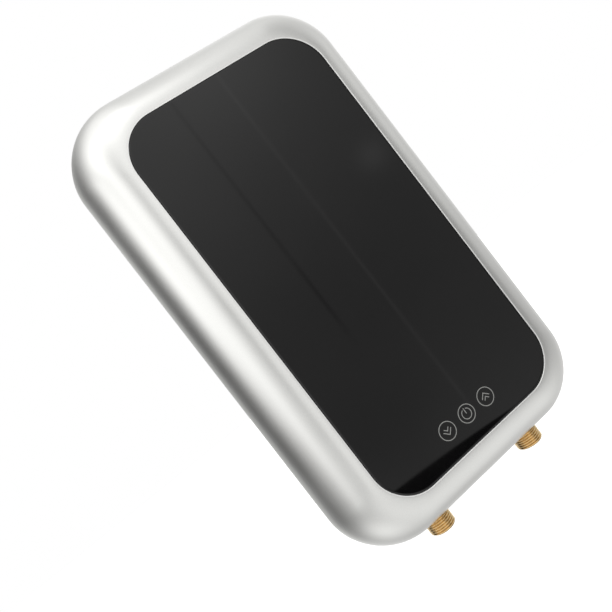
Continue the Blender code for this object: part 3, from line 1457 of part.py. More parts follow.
def make_lead(name, points, finish, radius=LEAD_RADIUS):
    """An insulated wire that the case holds all the way, straight at both ends."""
    path = [Vector(points[0]), *smooth_path(points[1:-1], 3), Vector(points[-1])]
    add_piece(name, loft(tube_rings(path, radius, 5)), finish)


def make_leads():
    """Supply wires through the residual current coil, the panel cable and the two element wires."""
    block_y = TRAY_FLOOR - SEAT - BLOCK_DEPTH / 2
    beside = LEAD_RADIUS + 2 * SEAT
    coil_top = RESIDUAL_COIL_HEIGHT + RESIDUAL_COIL_RADIUS
    for name, side, finish in (("live_lead", 1, RED_PLASTIC), ("neutral_lead", -1, BLUE_PLASTIC)):
        start = side * 2 * BLOCK_HALF_WIDTH / 3
        points = [
            (start, block_y, BLOCK_TOP + SEAT),
            (start, block_y, BLOCK_TOP + 4 * LEAD_RADIUS),
            (side * 3 * beside, (block_y + RESIDUAL_COIL_Y) / 2, (BLOCK_TOP + SPIGOT_BOTTOM) / 2),
            (side * beside, RESIDUAL_COIL_Y, LOWER_STRAP_HEIGHT - 2 * STRAP_WIDTH),
            (side * beside, RESIDUAL_COIL_Y, LOWER_STRAP_HEIGHT),
            (side * beside, RESIDUAL_COIL_Y, RESIDUAL_COIL_HEIGHT),
            (side * 2 * beside, RESIDUAL_COIL_Y + LEAD_RADIUS, coil_top),
            (side * 4 * beside, PART_REAR - 3 * LEAD_RADIUS, coil_top + 2 * LEAD_RADIUS),
            (side * 4 * beside, PART_REAR - LEAD_RADIUS, coil_top + 2 * LEAD_RADIUS),
            (side * 4 * beside, PART_REAR, coil_top + 2 * LEAD_RADIUS),
        ]
        make_lead(name, points, finish)
    cable_x = BOARD_WIDTH / 2 - 2 * POST_RADIUS
    board_edge = BOARD_BOTTOM + 2 * POST_RADIUS
    clear = TOUCH_BOARD_REAR + SEAT
    points = [
        (cable_x, PART_REAR, board_edge),
        (cable_x, PART_REAR - LEAD_RADIUS, board_edge),
        (cable_x, PART_REAR - 4 * LEAD_RADIUS, board_edge),
        (cable_x, (PART_REAR + clear) / 2, (board_edge + CARRIER_TOP) / 2),
        (cable_x, clear + 6 * LEAD_RADIUS, CARRIER_TOP - 4 * CARRIER_WALL),
        (cable_x, clear + 3 * LEAD_RADIUS, CARRIER_TOP - 8 * CARRIER_WALL),
        (cable_x, clear + LEAD_RADIUS, CARRIER_TOP - 8 * CARRIER_WALL),
        (cable_x, clear, CARRIER_TOP - 8 * CARRIER_WALL),
    ]
    make_lead("panel_cable", points, GREY_PLASTIC)
    front = BRIDGE_FRONT - 2 * LEAD_RADIUS
    lead_x = BOARD_WIDTH / 2 + LEAD_RADIUS / 2
    over = MANIFOLD_TOP + 3 * LEAD_RADIUS
    for name, side, finish in (("hot_element_lead", -1, GREY_PLASTIC), ("cold_element_lead", 1, GREY_PLASTIC)):
        points = [
            (side * lead_x * 0.75, PART_REAR, BOARD_TOP - 2 * POST_RADIUS),
            (side * lead_x * 0.75, PART_REAR - LEAD_RADIUS, BOARD_TOP - 2 * POST_RADIUS),
            (side * lead_x * 0.75, PART_REAR - 4 * LEAD_RADIUS, BOARD_TOP - POST_RADIUS),
            (side * lead_x, front, UPPER_STRAP_HEIGHT + STRAP_WIDTH),
            (side * lead_x, front, CUTOUT_HEIGHT),
            (side * lead_x, front, MANIFOLD_TOP - LEAD_RADIUS),
            (side * (lead_x + 3 * LEAD_RADIUS), (front + CHAMBER_Y) / 2, over),
            (side * (COLUMN_X - ELEMENT_RADIUS - 2 * SEAT - 2 * LEAD_RADIUS), CHAMBER_Y, over),
            (side * (COLUMN_X - ELEMENT_RADIUS - 2 * SEAT), CHAMBER_Y, over),
        ]
        make_lead(name, points, finish)


def build():
    make_front_shell()
    make_glass()
    make_rear_cover()
    make_wall_bracket()
    make_grommet()
    make_connector("hot_connector", -1)
    make_connector("cold_connector", 1)
    make_seal("hot_seal", -1)
    make_seal("cold_seal", 1)
    make_strainer()
    make_connector_clamp()
    make_flow_meter()
    make_spider("lower_spider", LOWER_SPIDER)
    make_spider("upper_spider", UPPER_SPIDER)
    make_turbine()
    make_outlet_tee()
    for name, side in (("hot", -1), ("cold", 1)):
        make_pipe(name + "_pipe", side)
        make_bottom_cap(name + "_bottom_cap", side)
        make_chamber(name + "_chamber", side)
        make_heating_element(name + "_heating_element", side)
    make_top_manifold()
    make_thermal_cutout()
    make_strap("upper_strap", UPPER_STRAP_HEIGHT)
    make_strap("lower_strap", LOWER_STRAP_HEIGHT)
    make_screws()
    make_triacs()
    make_power_board()
    make_board_parts()
    make_terminal_block()
    make_panel_carrier()
    make_touch_board()
    make_touch_springs()
    make_leads()
    finish_shading()


build()
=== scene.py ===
import math

import bmesh
import bpy
import numpy as np
from mathutils import Matrix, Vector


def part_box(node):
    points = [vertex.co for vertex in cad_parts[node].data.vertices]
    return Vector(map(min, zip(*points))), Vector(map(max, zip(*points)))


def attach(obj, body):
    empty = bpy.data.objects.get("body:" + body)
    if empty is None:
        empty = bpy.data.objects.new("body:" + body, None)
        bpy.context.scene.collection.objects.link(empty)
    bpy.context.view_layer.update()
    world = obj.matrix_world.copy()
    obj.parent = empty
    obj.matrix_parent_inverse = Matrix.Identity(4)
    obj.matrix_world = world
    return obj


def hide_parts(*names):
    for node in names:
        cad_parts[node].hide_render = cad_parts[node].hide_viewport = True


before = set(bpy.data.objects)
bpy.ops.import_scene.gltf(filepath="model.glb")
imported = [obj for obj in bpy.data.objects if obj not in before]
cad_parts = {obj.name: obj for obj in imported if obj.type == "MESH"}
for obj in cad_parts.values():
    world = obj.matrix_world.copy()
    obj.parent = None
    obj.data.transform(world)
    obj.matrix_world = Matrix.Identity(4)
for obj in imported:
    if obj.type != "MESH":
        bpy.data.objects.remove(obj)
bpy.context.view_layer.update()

# Camera. The heater hangs upright, so the photograph's tilt is in the camera: it looks from the
# front left at glass height and is rolled until the heater's top points to the upper left.
camera = bpy.data.objects.new("camera", bpy.data.cameras.new("camera"))
bpy.context.scene.collection.objects.link(camera)
camera.data.sensor_width = 36
camera.data.lens = 36.3722
camera.data.shift_x = 0.048204
camera.data.shift_y = 0.073938
camera_right = (0.758049, -0.227132, -0.611369)
camera_up = (0.591484, -0.155531, 0.791175)
camera_back = (-0.274788, -0.961364, 0.016445)
camera_turn = Matrix((camera_right, camera_up, camera_back)).transposed().to_4x4()
camera_place = (-0.18809, -0.44226, -0.05495)
camera.matrix_world = Matrix.Translation(camera_place) @ camera_turn
bpy.context.scene.camera = camera
bpy.context.scene.view_settings.view_transform = "Standard"


# Studio. A plain pale floor below the hanging heater, in a white room whose soft panels give the
# metal its bright and dark bands.
class Signal:
    """A shader socket that arithmetic is written on; each operator adds one Math node."""

    def __init__(self, shading, socket):
        self.shading = shading
        self.socket = socket

    def math(self, operation, *others):
        """One Math node on this value and the others."""
        return self.shading.node("Math", {"operation": operation}, dict(enumerate((self, *others))))

    def __add__(self, other):
        return self.math("ADD", other)

    def __sub__(self, other):
        return self.math("SUBTRACT", other)

    def __rsub__(self, other):
        return self.shading.node("Math", {"operation": "SUBTRACT"}, {0: other, 1: self})

    def __mul__(self, other):
        return self.math("MULTIPLY", other)

    __radd__ = __add__
    __rmul__ = __mul__


class Shading:
    """The node tree of one finish, filled by kind of node, settings and socket values."""

    def __init__(self, owner):
        owner.use_nodes = True
        self.tree = owner.node_tree
        self.tree.nodes.clear()

    def node(self, kind, settings=None, sockets=None, output=0):
        """Adds a node, fills it and gives its output, or several where output is a tuple."""
        added = self.tree.nodes.new("ShaderNode" + kind)
        for name, value in (settings or {}).items():
            setattr(added, name, value)
        for name, value in (sockets or {}).items():
            if isinstance(value, Signal):
                self.tree.links.new(value.socket, added.inputs[name])
            else:
                added.inputs[name].default_value = value
        if not added.outputs:
            return added
        if isinstance(output, tuple):
            return tuple(Signal(self, added.outputs[name]) for name in output)
        return Signal(self, added.outputs[output])


room = bpy.data.worlds.new("white_room")
bpy.context.scene.world = room
room_shading = Shading(room)
# Each panel: the direction it lies in, how tightly its light is gathered there, its brightness.
soft_panels = [
    ((0.08, -0.43, 0.90), 20, 1.39),
    ((-0.66, -0.19, 0.73), 8, 1.27),
    ((-0.97, 0.16, 0.19), 26, 1.26),
    ((0.54, 0.72, 0.44), 8, 1.10),
    ((-0.96, -0.26, -0.05), 21, 1.03),
    ((0.12, -0.83, 0.54), 7, 1.00),
    ((0.11, 0.92, -0.37), 9, 0.99),
    ((-0.05, 0.22, 0.97), 12, 0.91),
    ((-0.75, -0.59, 0.29), 21, 0.88),
    ((-0.54, 0.15, -0.83), 10, 0.84),
    ((-0.19, 0.94, 0.27), 36, 0.76),
    ((0.44, -0.17, -0.88), 4, 0.72),
    ((-0.25, -0.81, -0.54), 4, 0.71),
    ((0.93, -0.18, 0.31), 8, 0.68),
    ((0.78, 0.54, -0.31), 9, 0.53),
    ((0.54, 0.03, 0.84), 21, 0.48),
    ((0.43, -0.81, 0.41), 120, 0.20),
    ((0.28, -0.96, -0.04), 25, -0.18),
    ((-0.84, -0.52, -0.15), 14, 0.14),
    ((-0.45, -0.62, -0.64), 6, 0.08),
    ((0.70, -0.45, -0.55), 6, 0.10),
    ((0.30, -0.84, -0.45), 30, 0.09),
    ((-0.55, -0.10, 0.83), 10, 0.25),
    ((-0.21, -0.98, 0.03), 35, -0.38),
    ((0.82, -0.54, -0.20), 60, -0.12),
    ((0.92, -0.38, 0.00), 40, 0.06),
    ((-0.66, 0.75, -0.02), 40, -0.09),
    ((-0.29, 0.95, -0.14), 30, 0.13),
    ((0.25, 0.25, 0.93), 20, 0.05),
    ((0.5466, -0.8269, 0.1322), 3500, 0.20),
    ((0.306, -0.915, -0.264), 150, -0.13),
    ((-0.948, 0.308, -0.08), 25, 0.08),
    ((0.22, -0.38, 0.90), 30, 0.08),
    ((0.60, -0.62, 0.50), 35, -0.14),
    ((0.78, 0.25, 0.57), 25, 0.06),
    ((-0.02, -0.78, -0.62), 20, -0.07),
    ((-0.16, 0.66, -0.74), 20, 0.09),
    ((0.36, 0.08, -0.93), 40, 0.08),
]
glow = 0.05
direction = room_shading.node("TexCoord", output="Generated")
for towards, tightness, brightness in soft_panels:
    pair = {0: direction, 1: towards}
    facing = room_shading.node("VectorMath", {"operation": "DOT_PRODUCT"}, pair, "Value")
    glow = ((facing - 1.0) * tightness).math("EXPONENT") * brightness + glow


def ease(value, start, end, low=0.0, high=1.0):
    """An S-shaped step from low to high while the value goes from start to end."""
    sockets = {"Value": value, "From Min": start, "From Max": end, "To Min": low, "To Max": high}
    return value.shading.node("MapRange", {"interpolation_type": "SMOOTHSTEP"}, sockets)


def stepped(value, low, high, soft):
    """One between the two values and nought outside, each side softened over the given length."""
    return ease(value, low - soft, low + soft) * ease(value, high - soft, high + soft, 1.0, 0.0)


east, north, up = room_shading.node("SeparateXYZ", None, {"Vector": direction}, ("X", "Y", "Z"))
heading = north.math("ARCTAN2", east)


def room_patch(headings, heights):
    """A rectangle of the room: its first and last heading and their softness, in radians, and its
    lowest and highest height and their softness, as parts of the unit sphere."""
    return stepped(heading, *headings) * stepped(up, *heights)


table_edge = room_patch((-1.40, -0.90, 0.03), (-0.348, -0.2995, 0.0015))
door_gap = room_patch((-1.1861, -1.1801, 0.003), (-0.06, 0.40, 0.05))
door_frame = room_patch((-1.1022, -1.0972, 0.0025), (-0.26, 0.40, 0.03))
room_corner = room_patch((-0.86, -0.70, 0.06), (-0.40, 0.40, 0.10))
side_screen = room_patch((-1.90, -1.325, 0.02), (-0.30, 0.30, 0.20))
glow = glow * (1.0 - table_edge * 0.94) - door_gap * 0.12 + door_frame * 0.12
glow = glow + side_screen * 0.52 - room_corner * 0.21
plain_rays = ("Is Camera Ray", "Is Transmission Ray")
from_camera, through_clear = room_shading.node("LightPath", output=plain_rays)
seen = from_camera + through_clear
white = room_shading.node("Background", None, {"Color": (1, 1, 1, 1)})
lit = room_shading.node("Background", None, {"Color": (1, 1, 0.99, 1), "Strength": glow})
both = room_shading.node("MixShader", None, {0: seen, 1: lit, 2: white})
room_shading.node("OutputWorld", None, {"Surface": both})

floor_height = -0.40
floor_mesh = bpy.data.meshes.new("floor")
floor_edge = 4.0
floor_corners = [
    (side * floor_edge, end * floor_edge, floor_height)
    for side, end in ((-1, -1), (1, -1), (1, 1), (-1, 1))
]
floor_mesh.from_pydata(floor_corners, [], [(0, 1, 2, 3)])
floor = bpy.data.objects.new("floor", floor_mesh)
bpy.context.scene.collection.objects.link(floor)
floor_paint = bpy.data.materials.new("pale_floor")
floor_shading = Shading(floor_paint)
matt = floor_shading.node("BsdfDiffuse", None, {"Color": (0.84, 0.84, 0.83, 1)})
floor_seen = floor_shading.node("LightPath", output="Is Camera Ray")
shine = floor_shading.node("Emission", None, {"Strength": floor_seen * 0.5})
pale = floor_shading.node("AddShader", None, {0: matt, 1: shine})
below = floor_shading.node("NewGeometry", output="Backfacing")
clear = floor_shading.node("BsdfTransparent")
one_sided = floor_shading.node("MixShader", None, {0: below, 1: pale, 2: clear})
floor_shading.node("OutputMaterial", None, {"Surface": one_sided})
floor_mesh.materials.append(floor_paint)
floor.visible_glossy = False


# Front shell. One drawn aluminium part, bead blasted and satin anodised, with a bright cut edge
# round the glass; its sides roll back to the widest line and its rear rim has notches below.
def surface_place(shading):
    """The point on the surface in the heater's own frame, in metres."""
    return shading.node("TexCoord", output="Object")


def speckle(shading, blobs_per_metre, detail=2.0, stretch=(1, 1, 1)):
    """Soft noise from 0 to 1, about so many blobs to the metre, stretched along the axes."""
    pair = {0: surface_place(shading), 1: stretch}
    place = shading.node("VectorMath", {"operation": "MULTIPLY"}, pair)
    sockets = {"Vector": place, "Scale": blobs_per_metre, "Detail": detail}
    return shading.node("TexNoise", None, sockets)


def between(share, first, second):
    """One colour going over to another."""
    sockets = {0: share, 6: (*first, 1.0), 7: (*second, 1.0)}
    return share.shading.node("Mix", {"data_type": "RGBA"}, sockets, 2)


def relief(height, depth):
    """A bump of the given depth in metres."""
    return height.shading.node("Bump", None, {"Height": height, "Distance": depth})


def make_finish(name, paint, **plain):
    """A Principled finish; paint gives what varies over the surface and plain what doesn't."""
    finish = bpy.data.materials.new(name)
    shading = Shading(finish)
    values = {**plain, **paint(shading)}
    sockets = {key.replace("_", " ").title(): value for key, value in values.items()}
    surface = shading.node("BsdfPrincipled", None, sockets)
    shading.node("OutputMaterial", None, {"Surface": surface})
    return finish


def grid_faces(rows, columns, closed_rows=False):
    """Four-cornered faces between neighbouring rows and columns of a grid of points, whose last
    column meets the first, and whose last row may too."""
    index = np.arange(rows * columns).reshape(rows, columns)
    index = np.concatenate([index, index[:, :1]], axis=1)
    if closed_rows:
        index = np.concatenate([index, index[:1]], axis=0)
    return np.stack([index[:-1, :-1], index[1:, :-1], index[1:, 1:], index[:-1, 1:]], axis=-1)


def add_piece(
    name, points, faces, finishes, replaced, slot, body="heater", finish_of_face=None, sharp=35.0
):
    """A closed piece at the origin, facing out and shaded smooth up to the sharp angle in degrees.
    Points nearer than a micrometre are merged, which closes its poles."""
    mesh = bpy.data.meshes.new(name)
    faces = [list(map(int, face)) for face in faces]
    mesh.from_pydata(np.reshape(points, (-1, 3)).tolist(), [], faces)
    if finish_of_face is not None:
        mesh.polygons.foreach_set("material_index", np.asarray(finish_of_face, dtype=np.int32))
    shape = bmesh.new()
    shape.from_mesh(mesh)
    bmesh.ops.remove_doubles(shape, verts=shape.verts[:], dist=1e-6)
    bmesh.ops.recalc_face_normals(shape, faces=shape.faces[:])
    shape.to_mesh(mesh)
    shape.free()
    mesh.shade_smooth()
    mesh.set_sharp_from_angle(angle=math.radians(sharp))
    for finish in finishes:
        mesh.materials.append(finish)
    piece = bpy.data.objects.new(name, mesh)
    bpy.context.scene.collection.objects.link(piece)
    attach(piece, body)
    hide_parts(*replaced)


def outline_columns(corner_steps, top, left, bottom, right):
    """Columns anticlockwise round a rounded rectangle, seen from the front. Each has the share of
    the straight half width and half height at which its arc is centred, and its angle there."""
    angle = np.linspace(0, math.pi / 2, corner_steps + 1)
    full = np.ones(corner_steps + 1)
    parts = []
    signs = ((1, 1), (-1, 1), (-1, -1), (1, -1))
    for quarter, (side, end) in enumerate(signs):
        parts.append((side * full, end * full, angle + quarter * math.pi / 2))
        shares = np.asarray((top, left, bottom, right)[quarter], dtype=float)
        steady = np.ones(len(shares))
        facing = steady * (quarter + 1) * math.pi / 2
        if quarter % 2 == 0:
            parts.append((shares, end * steady, facing))
        else:
            parts.append((side * steady, shares, facing))
    return tuple(np.concatenate([part[axis] for part in parts]) for axis in range(3))


case_middle = -0.040
front = -0.062
glass_half = (0.080, 0.1525)
glass_corner = 0.030
glass_drop = 0.0015
roll_depth = 0.046
side_roll = 0.031
end_roll = 0.0335
corner_growth = 0.017
shell_wall = 0.0022
shell_land = 0.002
ledge_width = 0.005
ledge_depth = 0.0044
ledge_thickness = 0.002
glass_gap = 0.00035
# The cut edge beside the glass, row by row: how far out from the glass and how far behind the front.
lip_profile = ((0.00035, 0.00018), (0.00050, 0.000036), (0.00105, 0.000034))
column_x = 0.0485
connector_y = -0.020
notch_radius = 0.0110775
notch_centres = (-column_x, 0.0, column_x)


def outline_points(columns, half_width, half_height, corner, y, middle):
    """Arc centre plus corner radius times the cosine and sine of the column's angle, at depth y."""
    across, up, angle = columns
    x = across * (half_width - corner) + corner * np.cos(angle)
    z = middle + up * (half_height - corner) + corner * np.sin(angle)
    return np.stack(np.broadcast_arrays(x, y, z), axis=-1)


def shell_points(turn, inset=0.0, depth=0.0, wall=0.0):
    """The shell where its section has rolled by an angle, 0 at the glass and a right angle at the
    side: the outline grows with the sine, the depth with one less the cosine, both moved inwards
    along the section's normal by the wall."""
    spread = np.sin(turn)
    rise = roll_depth * np.sin(turn)
    run = side_roll * np.cos(turn)
    length = np.hypot(rise, run)
    inwards = inset + wall * rise / length
    y = front + roll_depth * (1 - np.cos(turn)) + wall * run / length + depth
    return outline_points(
        shell_columns,
        glass_half[0] + spread * side_roll - inwards,
        glass_half[1] + spread * end_roll - inwards,
        glass_corner + spread * corner_growth - inwards,
        y,
        case_middle - glass_drop * (1 - spread),
    )


# The columns of the bottom fan out at each notch, so that its rim is round.
rear_half_straight = glass_half[0] + side_roll - glass_corner - corner_growth
notch_steps = 20
steps_between_notches = 7
steps_beside_notches = 3
notch_fan = -np.cos(np.linspace(0, math.pi, notch_steps + 1))
row_ends = [-rear_half_straight]
for centre in notch_centres:
    row_ends += [centre - notch_radius, centre + notch_radius]
row_ends.append(rear_half_straight)
bottom_x = []
for number in range(len(notch_centres) + 1):
    at_side = number in (0, len(notch_centres))
    steps = steps_beside_notches if at_side else steps_between_notches
    bottom_x.append(np.linspace(row_ends[2 * number], row_ends[2 * number + 1], steps + 1)[1:-1])
    if number < len(notch_centres):
        bottom_x.append(notch_centres[number] + notch_radius * notch_fan)
bottom_x = np.concatenate(bottom_x)
corner_steps = 20
top_steps = 12
side_steps = 24
top_shares = np.linspace(1, -1, top_steps + 1)[1:-1]
side_shares = np.linspace(1, -1, side_steps + 1)[1:-1]
shell_columns = outline_columns(
    corner_steps, top_shares, side_shares, bottom_x / rear_half_straight, -side_shares
)
column_count = len(shell_columns[0])
bottom_first = 3 * (corner_steps + 1) + len(top_shares) + len(side_shares)

# The rows follow the roll from the cut edge to the rear rim, and then back inside to the ledge.
lip_turn = math.radians(2.2)
lip_end_turn = math.radians(7)
squeeze_turn = math.radians(52)
inner_first_turn = math.radians(14.5)
notch_turn = math.acos(1 - (connector_y - front) / roll_depth)
lip_steps = 3
roll_steps = 20
squeeze_steps = 11
rim_steps = 2
inner_steps = 8
outer_turns = np.concatenate(
    [
        np.linspace(lip_turn, lip_end_turn, lip_steps + 1),
        np.linspace(lip_end_turn, squeeze_turn, roll_steps + 1)[1:],
        np.linspace(squeeze_turn, notch_turn, squeeze_steps + 1)[1:],
        np.linspace(notch_turn, math.pi / 2, rim_steps + 1)[1:],
    ]
)
squeeze_row = lip_steps + roll_steps
notch_row = squeeze_row + squeeze_steps
turns = np.repeat(outer_turns[:, None], column_count, axis=1)
in_notch = np.zeros(column_count, dtype=int)
along_bottom = np.full(column_count, math.inf)
along_bottom[bottom_first : bottom_first + len(bottom_x)] = bottom_x
rounding = 1e-9
rim_rounds = 6
squeeze_start = front + roll_depth * (1 - math.cos(squeeze_turn))
rows = slice(squeeze_row, notch_row + 1)
plain_y = front + roll_depth * (1 - np.cos(outer_turns[rows]))[:, None]

# Above each notch the rows crowd together, so that the last of them is the notch's rim: a half
# circle. Its depth depends on the width there, and that on the depth, so both take a few rounds.
for number, centre in enumerate(notch_centres):
    inside = np.abs(along_bottom - centre) <= notch_radius + rounding
    in_notch[inside] = number + 1
    share = shell_columns[0][inside]
    edge = np.full(inside.sum(), connector_y)
    for _ in range(rim_rounds):
        spread = np.sqrt(1 - (1 - (edge - front) / roll_depth) ** 2)
        straight = glass_half[0] - glass_corner + spread * (side_roll - corner_growth)
        room_left = np.clip(notch_radius**2 - (share * straight - centre) ** 2, 0, None)
        edge = connector_y - np.sqrt(room_left)
    moved = (plain_y - squeeze_start) * (edge - squeeze_start) / (connector_y - squeeze_start)
    moved = squeeze_start + moved
    turns[rows, inside] = np.arccos(1 - (moved - front) / roll_depth)

full_turn = np.full((1, column_count), math.pi / 2)
outer = shell_points(turns)
outer = np.concatenate([outer, shell_points(full_turn, depth=shell_land)])
inner_front = np.linspace(inner_first_turn, squeeze_turn, inner_steps + 1)[:-1, None]
inner_front = np.repeat(inner_front, column_count, axis=1)
inner_turns = np.concatenate([inner_front, turns[squeeze_row:]])
inner = shell_points(inner_turns, wall=shell_wall)
inner = np.concatenate([inner, shell_points(full_turn, depth=shell_land, wall=shell_wall)])
flat_turn = np.zeros((1, 1))
ledge_rear = ledge_depth + ledge_thickness
ledge = [
    shell_points(flat_turn, inset=ledge_width, depth=ledge_depth),
    shell_points(flat_turn, inset=-glass_gap, depth=ledge_depth),
    *(shell_points(flat_turn, inset=-out, depth=down) for out, down in lip_profile),
]
behind = shell_points(inner_turns[:1], wall=shell_wall)
behind[..., 1] = front + ledge_rear
closing = [behind, shell_points(flat_turn, inset=ledge_width, depth=ledge_rear)]
shell_rows = np.concatenate([*ledge, outer, inner[::-1], *closing])
shell_faces = grid_faces(len(shell_rows), column_count, closed_rows=True)
outer_start = len(ledge)
outer_end = outer_start + len(outer) - 1
notch_from = outer_start + notch_row
notch_to = outer_end + 1 + (outer_end - notch_from)

# The faces inside the notches are left out, and the cut wall is closed along each notch's rim.
keep = np.ones(shell_faces.shape[:2], dtype=bool)
following = np.roll(in_notch, -1)
open_columns = (in_notch > 0) & (in_notch == following)
keep[notch_from:notch_to, open_columns] = False
cut_edge_rows = slice(1, outer_start - 1)
finish_rows = np.zeros(shell_faces.shape[:2], dtype=int)
finish_rows[cut_edge_rows] = 1
starts = np.flatnonzero(open_columns)
after = (starts + 1) % column_count
low_row = notch_from * column_count
high_row = notch_to * column_count
arch = np.stack([low_row + starts, low_row + after, high_row + after, high_row + starts], axis=-1)
sides = []
down = np.arange(notch_from, outer_end)
across = notch_to - (down - notch_from)
side_rows = np.stack([down, down + 1, across - 1, across], axis=-1) * column_count
for number in range(len(notch_centres)):
    columns = np.flatnonzero(in_notch == number + 1)
    sides += [side_rows + columns[0], side_rows + columns[-1]]
shell_faces_all = np.concatenate([shell_faces[keep], arch, *sides])
rim_finish = np.zeros(len(arch) + sum(map(len, sides)), dtype=int)
shell_finish_all = np.concatenate([finish_rows[keep], rim_finish])


def paint_satin_silver(shading):
    """Neutral anodised metal: bead-blast grain some tenths of a millimetre across, slow clouds."""
    grain = speckle(shading, 2400, 3)
    cloud = speckle(shading, 22, 2)
    fine = speckle(shading, 5200, 1)
    tint = ease(grain * 0.7 + cloud * 0.3, 0.3, 0.7)
    return {
        "base_color": between(tint, (0.765, 0.765, 0.75), (0.835, 0.835, 0.82)),
        "roughness": ease(grain * 0.6 + cloud * 0.4, 0.3, 0.7, 0.29, 0.36),
        "normal": relief(grain + fine * 0.5, 0.000012),
    }


def paint_cut_edge(shading):
    """The diamond-cut edge at the glass: clean bright metal with the cutter's fine lines."""
    return {
        "roughness": ease(speckle(shading, 900, 2), 0.3, 0.7, 0.46, 0.56),
        "normal": relief(speckle(shading, 4000, 1), 0.000004),
    }


satin_silver = make_finish("satin_silver", paint_satin_silver, metallic=1.0)
cut_edge = make_finish("cut_edge", paint_cut_edge, metallic=1.0, base_color=(0.98, 0.98, 0.97, 1))
add_piece(
    "shell_skin",
    shell_rows,
    shell_faces_all,
    [satin_silver, cut_edge],
    ["front_shell"],
    "satin_silver",
    finish_of_face=shell_finish_all,
    sharp=18.0,
)


def join(parts):
    """Several meshes as one list of points and faces."""
    points = []
    faces = []
    count = 0
    for part_points, part_faces in parts:
        points.append(np.reshape(part_points, (-1, 3)))
        faces += [[int(corner) + count for corner in face] for face in part_faces]
        count += len(points[-1])
    return np.concatenate(points), faces


boss_across = 0.093
boss_along = 0.150
boss_places = [
    (side * boss_across, case_middle + end * boss_along) for end in (1, -1) for side in (-1, 1)
]
boss_radius = 0.0042
boss_hole = 0.0018
boss_rear = -0.030
boss_hole_end = -0.042
boss_edge = 0.0003
boss_into_wall = 0.0011
boss_steps = 40
wall_halvings = 30


def wall_depth(x, z, inset):
    """Depth at which the shell, moved inwards by the inset, stands over a point: the roll is halved
    between its ends until the rounded outline passes through the point."""
    low = np.zeros(np.shape(x))
    high = np.full(np.shape(x), math.pi / 2)
    for _ in range(wall_halvings):
        turn = (low + high) / 2
        spread = np.sin(turn)
        corner = glass_corner + spread * corner_growth
        over_x = np.abs(x) - (glass_half[0] + spread * side_roll - corner)
        middle = case_middle - glass_drop * (1 - spread)
        over_z = np.abs(z - middle) - (glass_half[1] + spread * end_roll - corner)
        outwards = np.hypot(np.maximum(over_x, 0), np.maximum(over_z, 0))
        outside = outwards + np.minimum(np.maximum(over_x, over_z), 0) > corner
        low = np.where(outside, turn, low)
        high = np.where(outside, high, turn)
    return front + roll_depth * (1 - np.cos(low)) + inset


bosses = []
boss_angle = 2 * math.pi * np.arange(boss_steps) / boss_steps
boss_radii = [0.0, boss_radius, boss_radius, boss_radius - boss_edge, boss_hole, boss_hole, 0.0]
boss_depths = [boss_rear - boss_edge, boss_rear, boss_rear, boss_hole_end, boss_hole_end]
for boss_x, boss_z in boss_places:
    x = boss_x + np.outer(boss_radii, np.cos(boss_angle))
    z = boss_z + np.outer(boss_radii, np.sin(boss_angle))
    on_wall = wall_depth(x[:2], z[:2], boss_into_wall)
    y = np.concatenate([on_wall, np.repeat(boss_depths, boss_steps).reshape(-1, boss_steps)])
    faces = grid_faces(len(boss_radii), boss_steps).reshape(-1, 4).tolist()
    bosses.append((np.stack([x, y, z], axis=-1), faces))
add_piece("shell_screw_bosses", *join(bosses), [satin_silver], ["front_shell"], "satin_silver")


# Glass. Toughened 3 mm float glass printed black behind, with ground and polished edges, glued
# flush into the shell; the touch symbols are fine pale print.
glass_corner_steps = 24
glass_columns = outline_columns(glass_corner_steps, [], [], [], [])
glass_sunk = 0.0002
glass_front = front + glass_sunk
glass_thickness = 0.003
flat_border = 0.001
arris = 0.0003
arris_rows = 5
arris_turns = np.linspace(0, math.pi / 2, arris_rows)[:, None]
arris_in = arris * (1 - np.sin(arris_turns))
arris_down = arris * (1 - np.cos(arris_turns))


def glass_points(inset, y):
    """The glass outline moved inwards by the inset."""
    inset = np.asarray(inset)
    return outline_points(
        glass_columns,
        glass_half[0] - inset,
        glass_half[1] - inset,
        glass_corner - inset,
        y,
        case_middle - glass_drop,
    )


border_inset = np.array([[arris + flat_border]])
glass_rear = glass_front + glass_thickness
glass_rows = [
    glass_points(border_inset, glass_front),
    glass_points(arris_in, glass_front + arris_down),
    glass_points(arris_in[::-1], glass_rear - arris_down[::-1]),
    glass_points(border_inset, glass_rear),
]
glass_rows = np.concatenate(glass_rows)
glass_count = len(glass_columns[0])
glass_faces = grid_faces(len(glass_rows), glass_count).reshape(-1, 4).tolist()
for first in (0, (len(glass_rows) - 1) * glass_count):
    glass_faces.append(list(range(first, first + glass_count)))


def paint_black_glass(shading):
    """Deep black print seen through clear glass, with a trace of handling haze."""
    haze = speckle(shading, 14, 3)
    share = ease(haze, 0.35, 0.7)
    return {
        "base_color": between(share, (0.0022, 0.0021, 0.0023), (0.0034, 0.0032, 0.0034)),
        "roughness": ease(haze, 0.3, 0.75, 0.015, 0.045),
    }


black_glass = make_finish("black_glass", paint_black_glass)
add_piece(
    "glass_skin",
    glass_rows,
    glass_faces,
    [black_glass],
    ["glass_panel"],
    "black_glass",
    sharp=30.0,
)

touch_above_end = 0.0199
touch_height = case_middle - glass_drop - glass_half[1] + touch_above_end
touch_pitch = 0.01895
line_width = 0.00058
print_front = glass_front - 0.00004
print_rear = glass_front + 0.00005
ring_radius = 0.00645
ring_steps = 56
power_radius = 0.0037
power_steps = 40
power_ends = (110, 430)
power_line = (0.0045, 0.0001)
arrow_tips_and_arms = ((0.0029, 0.0035), (0.0, 0.0021))


